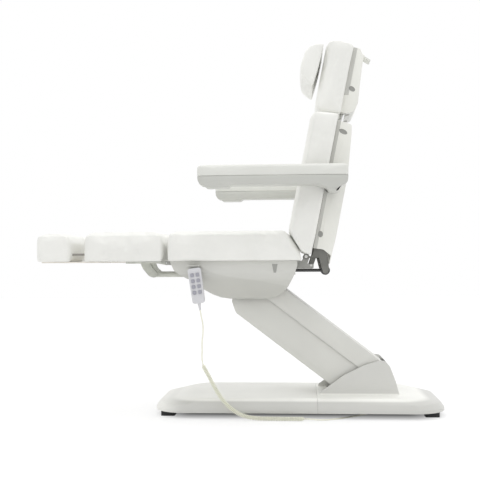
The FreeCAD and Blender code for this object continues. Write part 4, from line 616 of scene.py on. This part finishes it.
def finishCushion(name, piece, make):
    before = [vert.co.copy() for vert in piece.data.vertices]
    settle(piece)
    bm = bmesh.new()
    bm.from_mesh(piece.data)
    bm.verts.ensure_lookup_table()
    cap = make["swell"] * mm
    bm.normal_update()
    for vert, old in zip(bm.verts, before):
        move = vert.co - old
        far = move.length
        if far > 0:
            vert.co = old + move * (cap * math.tanh(far / cap) / far)
        else:
            vert.co = old + vert.normal * cap * 0.4
    bmesh.ops.smooth_vert(bm, verts=bm.verts, factor=0.5, use_axis_x=True, use_axis_y=True, use_axis_z=True)
    for number, past in make["reach"].items():
        place, normal = sidePlane(make, number)
        fitTo(bm, place + normal * past * mm, normal)
    for y, way in zip(make["across"], (-1, 1)):
        fitTo(bm, Vector((0, (y + way) * mm, 0)), Vector((0, way, 0)))
    bm.to_mesh(piece.data)
    bm.free()
    rounder = piece.modifiers.new("rounder", "SUBSURF")
    rounder.levels = rounder.render_levels = 1
    settle(piece)
    if make["seams"]:
        bm = bmesh.new()
        bm.from_mesh(piece.data)
        for number, inset in make["seams"]:
            place, normal = sidePlane(make, number)
            cutSeam(bm, place - normal * inset * mm, normal)
        bm.to_mesh(piece.data)
        bm.free()
        piece.data.shade_smooth()
    key = "armrestPad" if "Armrest" in name else "leather"
    piece.data.materials.clear()
    piece.data.materials.append(finish[key])
    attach(piece, bodyOf[make["node"]])
    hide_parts(make["node"])


makeCushions()
print("cushions made")


# each shell is a merged copy of the CAD piece with its sharp edges rounded off; lengths here in metres, angles in
# degrees, and how squarely a marked face looks sideways or down
shellMake = {"merge": 0.00002, "flat": 0.6, "sharp": 30, "smooth": 40, "segments": 2, "cut": 0.00001,
             "floorFacing": 0.9, "stripFacing": 0.5, "downFacing": 0.6}
convexOnly = ("lowerArmCover",)   # its inner corners stay square, clear of the column bracket


def roundedCopy(node, name, key, width):
    bm = bmesh.new()
    bm.from_mesh(frame["nodes"][node].data)
    bmesh.ops.remove_doubles(bm, verts=bm.verts, dist=shellMake["merge"])
    markFloors(bm, name)
    bmesh.ops.dissolve_limit(bm, angle_limit=math.radians(shellMake["flat"]), verts=bm.verts, edges=bm.edges,
                             delimit={"MATERIAL"})
    sharp = [e for e in bm.edges if e.is_manifold and e.calc_face_angle(0) > math.radians(shellMake["sharp"])
             and (e.is_convex or name not in convexOnly)]
    bmesh.ops.bevel(bm, geom=sharp, offset=width * mm, segments=shellMake["segments"], profile=0.5, affect="EDGES",
                    clamp_overlap=True)
    markStrips(bm, name)
    markUnderside(bm, name)
    piece = meshPiece(name, bm, shellMake["smooth"])
    marked = name in shellStrips or name in shellFloors
    for slot in (key, *markFinish) if marked else (key,):
        piece.data.materials.append(finish[slot])
    for make in shellPockets.get(name, []):
        cutPocket(piece, make)
    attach(piece, bodyOf[node])
    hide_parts(node)


# the wedge's floor takes the darker recess finish as painted shade
def markFloors(bm, name):
    for low, high in shellFloors.get(name, []):
        for face in bm.faces:
            middle = face.calc_center_median()
            within = all(low[i] < middle[i] < high[i] for i in (0, 2)) and low.y < abs(middle.y) < high.y
            if within and abs(face.normal.y) > shellMake["floorFacing"]:
                face.material_index = 1 + markFinish.index("recess")


# the faces of the front strip take the darker finish as painted shade
def markStrips(bm, name):
    for place, lowest in shellStrips.get(name, []):
        for point, normal in ((place, stripWay), (lowest, Vector((0, 0, 1)))):
            every = bm.verts[:] + bm.edges[:] + bm.faces[:]
            bmesh.ops.bisect_plane(bm, geom=every, dist=shellMake["cut"], plane_co=point, plane_no=normal)
        for face in bm.faces:
            middle = face.calc_center_median()
            ahead = (middle - place).dot(stripWay) > 0 and middle.z > lowest.z
            if ahead and abs(face.normal.y) > shellMake["stripFacing"]:
                face.material_index = 1 + markFinish.index("shadeShell")


def markUnderside(bm, name):   # painted light: its downward faces take the pale base finish, standing in for light from the floor
    if name in shellUndersideLight:
        for face in bm.faces:
            low = face.calc_center_median().z < shellUndersideLight[name].z
            if low and face.normal.z < -shellMake["downFacing"]:
                face.material_index = 1 + markFinish.index("base")


def cutPocket(piece, make):   # an oval blind hole from the side, its floor and walls darker as painted shade
    for way in make["ways"]:
        bm = bmesh.new()
        ring = bmesh.ops.create_circle(bm, cap_ends=True, segments=pocketSides, radius=mm / 2)["verts"]
        bmesh.ops.scale(bm, verts=ring, vec=(make["long"], make["wide"], 1))
        bmesh.ops.rotate(bm, verts=ring, matrix=Matrix.Rotation(math.radians(make["turn"]), 3, "Z"))
        bmesh.ops.rotate(bm, verts=ring, matrix=Matrix.Rotation(math.radians(90), 3, "X"))
        x, z = make["at"]
        bmesh.ops.translate(bm, verts=ring, vec=at(x, make["y"][0] * way, z))
        far = bmesh.ops.extrude_face_region(bm, geom=bm.faces[:])["geom"]
        far = [item for item in far if isinstance(item, bmesh.types.BMVert)]
        bmesh.ops.translate(bm, verts=far, vec=(0, (make["y"][1] - make["y"][0]) * way * mm, 0))
        bmesh.ops.recalc_face_normals(bm, faces=bm.faces)
        cutter = meshPiece("cutter", bm)
        cutter.data.materials.append(finish[make["finish"]])
        cut = piece.modifiers.new("pocket", "BOOLEAN")
        cut.object = cutter
        cut.solver = "EXACT"
        cut.material_mode = "TRANSFER"
        settle(piece)
        piece.data.set_sharp_from_angle(angle=math.radians(shellMake["smooth"]))
        bpy.data.objects.remove(cutter)


markFinish = ("shadeShell", "recess", "base")   # the finishes of marked faces, after the shell's own: painted shade on front strips and in recesses, painted light on undersides
# the front strip of a shell takes the darker shadeShell finish as painted shade: a point behind it and one at its
# lower end
stripWay = Vector((-0.981, 0, 0.194))
shellStrips = {
    "backCover": [(at(135, 0, 1020), at(0, 0, 500))],
    "headrestShell": [(at(212, 0, 1350), at(0, 0, 1252))],
}
shellUndersideLight = {"headrestShell": at(0, 0, 1230)}   # the faces below this that look down get painted light
# the floor of the wedge moulded into the casing's sides, darkened as painted shade: two corners, with y counted
# outwards on both sides
shellFloors = {"seatCasing": [(at(-106, 262, 527), at(-83, 269, 589))]}
# oval pockets in millimetres, their y from inside to outside, on each side named by ways; their finish darkens them
# as painted shade
pocketSides = 24
# the armrest slot is cut with the black finish, painted shade in the gap by its hinge
armrestSlot = {"at": (139, 862), "y": (390, 412), "long": 25, "wide": 6, "turn": 42, "finish": "black"}
shellPockets = {
    "backCover": [
        {"at": (164, 1090), "y": (247.5, 256), "long": 34, "wide": 17, "turn": -28, "ways": (-1, 1),
         "finish": "recess"},
        {"at": (75, 701), "y": (247.5, 256), "long": 19, "wide": 24, "turn": 0, "ways": (-1, 1),
         "finish": "recess"},
    ],
    "headrestShell": [
        {"at": (206, 1276), "y": (128.5, 137), "long": 27, "wide": 18, "turn": -38, "ways": (-1, 1),
         "finish": "recess"},
    ],
    "leftArmrestCasing": [{**armrestSlot, "ways": (-1,)}],
    "rightArmrestCasing": [{**armrestSlot, "ways": (1,)}],
}
shells = {
    "baseFrontCover": ("base_front_cover", "base", "cover_white", 3.0),
    "baseRearCover": ("base_rear_cover", "base", "cover_white", 3.0),
    "lowerArmCover": ("lower_arm_cover", "arm", "casing_grey", 2.0),
    "upperArmCover": ("upper_arm_cover", "arm", "casing_grey", 2.5),
    "armEndCap": ("arm_end_cap", "black", "black_plastic", 1.5),
    "seatCasing": ("seat_casing", "casing", "casing_grey", 1.8),
    "backCover": ("back_cover", "backShell", "back_cover_grey", 1.8),
    "headrestShell": ("headrest_shell", "backShell", "back_cover_grey", 1.5),
    "leftArmrestCasing": ("left_armrest_casing", "armrest", "armrest_grey", 3.0),
    "rightArmrestCasing": ("right_armrest_casing", "armrest", "armrest_grey", 3.0),
    "handsetShell": ("handset_shell", "handset", "handset_plastic", 1.2),
}
for name, (node, key, slotName, width) in shells.items():
    roundedCopy(node, name, key, width)
print("shells made")


# the CAD nodes that stay as they are, by finish
nodeFinish = {
    "black": ["control_box"],
    "casing": ["handset_holder"],
    "rubber": ["base_feet"],
    "steel": ["back_frame"],
    "plate": ["seat_frame"],
    "hidden": ["base_frame", "column_bracket", "lower_link", "upper_link", "seat_carrier", "lift_motor",
               "back_drive_rod"],
    "bright": ["lift_pins", "hinge_pins"],
    "chrome": ["lift_rod", "headrest_posts"],
    "paintedSteel": ["back_drive_tube"],
    "armrestPad": ["headrest_lever"],
}
sideFinish = {
    "steel": ["armrest_hub", "armrest_link"],
    "paintedSteel": ["leg_frame", "gas_strut"],
    "slide": ["foot_slide"],
}


def dressNodes():
    for key, names in nodeFinish.items():
        for name in names:
            dress(name, key)
    for key, names in sideFinish.items():
        for side, _ in sides:
            for name in names:
                dress(side + "_" + name, key)
    for number in range(1, 9):
        dress("handset_button_" + str(number), "button")


def dress(name, key):
    slots = frame["nodes"][name].data.materials
    slots.clear()
    slots.append(finish[key])


dressNodes()
print("nodes dressed")


# light from the photographer's side and from behind, and the directions between which it changes; the floor's glow
# and grey for the camera, its reach and place in metres, the width of the edge of the painted shadow under the base,
# the base's corner
room = {"nearLight": 0.73, "farLight": 1.0, "turnOver": (-0.9, 0.1), "floorGlow": 0.66, "floorPaint": 0.36,
        "floorReach": 9, "floorBack": 2.0, "shadowEdge": 0.135, "baseCorner": 0.15}


def makeFloor():
    bm = bmesh.new()
    bmesh.ops.create_grid(bm, x_segments=2, y_segments=2, size=room["floorReach"])
    floor = meshPiece("floor", bm)
    floor.location = (0, room["floorBack"], 0)
    material, nodes, links, shader, place = startMaterial("paleFloor", 0.75)
    shader.inputs["Specular IOR Level"].default_value = 0.2
    tone = noiseOn(nodes, links, place, 3, 4)
    clear = clearRays(nodes, links)
    paint = nodes.new("ShaderNodeMix")   # for the camera the floor glows and its shadows fade, beside the base; under the base the glow is left out, a painted shadow
    paint.data_type = "RGBA"
    links.new(blendColours(nodes, links, tone, (0.94, 0.94, 0.94), (0.95, 0.95, 0.95)), paint.inputs[6])
    paint.inputs[7].default_value = (*[room["floorPaint"]] * 3, 1)
    links.new(clear, paint.inputs[0])
    links.new(paint.outputs[2], shader.inputs["Base Color"])
    shader.inputs["Emission Color"].default_value = (1, 1, 1, 1)
    glow = spread(nodes, links, clear, 0, room["floorGlow"])
    links.new(mathOf(nodes, links, "MULTIPLY", glow, besideBase(nodes, links)), shader.inputs["Emission Strength"])
    floor.data.materials.append(material)


def makeWorld():
    world = bpy.data.worlds.new("studio")
    scene.world = world
    world.use_nodes = True
    nodes, links = world.node_tree.nodes, world.node_tree.links
    lit = nodes["Background"]
    ways = nodes.new("ShaderNodeSeparateXYZ")
    links.new(nodes.new("ShaderNodeTexCoord").outputs["Generated"], ways.inputs["Vector"])
    lights = room["nearLight"], room["farLight"]   # a studio darker on the photographer's side
    strength = rangeOf(nodes, links, ways.outputs["Y"], *room["turnOver"], lights)
    links.new(strength, lit.inputs["Strength"])
    lit.inputs["Color"].default_value = (1, 1, 1, 1)
    seen = nodes.new("ShaderNodeBackground")
    seen.inputs["Color"].default_value = (1, 1, 1, 1)
    seen.inputs["Strength"].default_value = 1.0
    mix = nodes.new("ShaderNodeMixShader")
    links.new(clearRays(nodes, links), mix.inputs["Fac"])
    links.new(lit.outputs["Background"], mix.inputs[1])
    links.new(seen.outputs["Background"], mix.inputs[2])
    links.new(mix.outputs["Shader"], nodes["World Output"].inputs["Surface"])


def besideBase(nodes, links):   # painted shadow: 0 on the floor well under the base, where the glow is left out, rising to 1 at its rounded outline
    low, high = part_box("base_front_cover")[0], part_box("base_rear_cover")[1]
    joined = nodes.new("ShaderNodeCombineXYZ")
    for axis, shift in (("X", 0), ("Y", room["floorBack"])):
        i = "XYZ".index(axis)
        aside = mathOf(nodes, links, "SUBTRACT", axisOf(nodes, links, axis), (low[i] + high[i]) / 2 - shift)
        straight = (high[i] - low[i]) / 2 - room["baseCorner"]
        past = mathOf(nodes, links, "SUBTRACT", mathOf(nodes, links, "ABSOLUTE", aside), straight)
        links.new(mathOf(nodes, links, "MAXIMUM", past, 0), joined.inputs[axis])
    size = nodes.new("ShaderNodeVectorMath")
    size.operation = "LENGTH"
    links.new(joined.outputs["Vector"], size.inputs[0])
    corner = room["baseCorner"]
    return rangeOf(nodes, links, size.outputs["Value"], corner - room["shadowEdge"], corner)


def clearRays(nodes, links):   # 1 for rays from the camera, off a gloss or through glass
    ray = nodes.new("ShaderNodeLightPath")
    first = mathOf(nodes, links, "MAXIMUM", ray.outputs["Is Camera Ray"], ray.outputs["Is Glossy Ray"])
    return mathOf(nodes, links, "MAXIMUM", first, ray.outputs["Is Transmission Ray"])


def makeLamp(name, place, aim, size, power):
    data = bpy.data.lights.new(name, "AREA")
    data.shape = "RECTANGLE"
    data.size, data.size_y = size
    data.energy = power
    lamp = bpy.data.objects.new(name, data)
    scene.collection.objects.link(lamp)
    lamp.location = place
    lamp.rotation_euler = (Vector(aim) - Vector(place)).to_track_quat("-Z", "Y").to_euler()


makeFloor()
makeWorld()
lamps = {
    "keyLight": ((-1.0, -2.4, 2.6), (0, 0, 0.6), (2.0, 1.6), 7),
    "topLight": ((0.2, 0.2, 3.2), (0, 0, 0.4), (2.4, 2.4), 24),
    "sideLight": ((2.6, -1.6, 1.4), (0, 0, 0.7), (1.2, 1.6), 3),
}
for name, (place, aim, size, power) in lamps.items():
    makeLamp(name, place, aim, size, power)
scene.view_settings.view_transform = "Standard"
print("room lit")
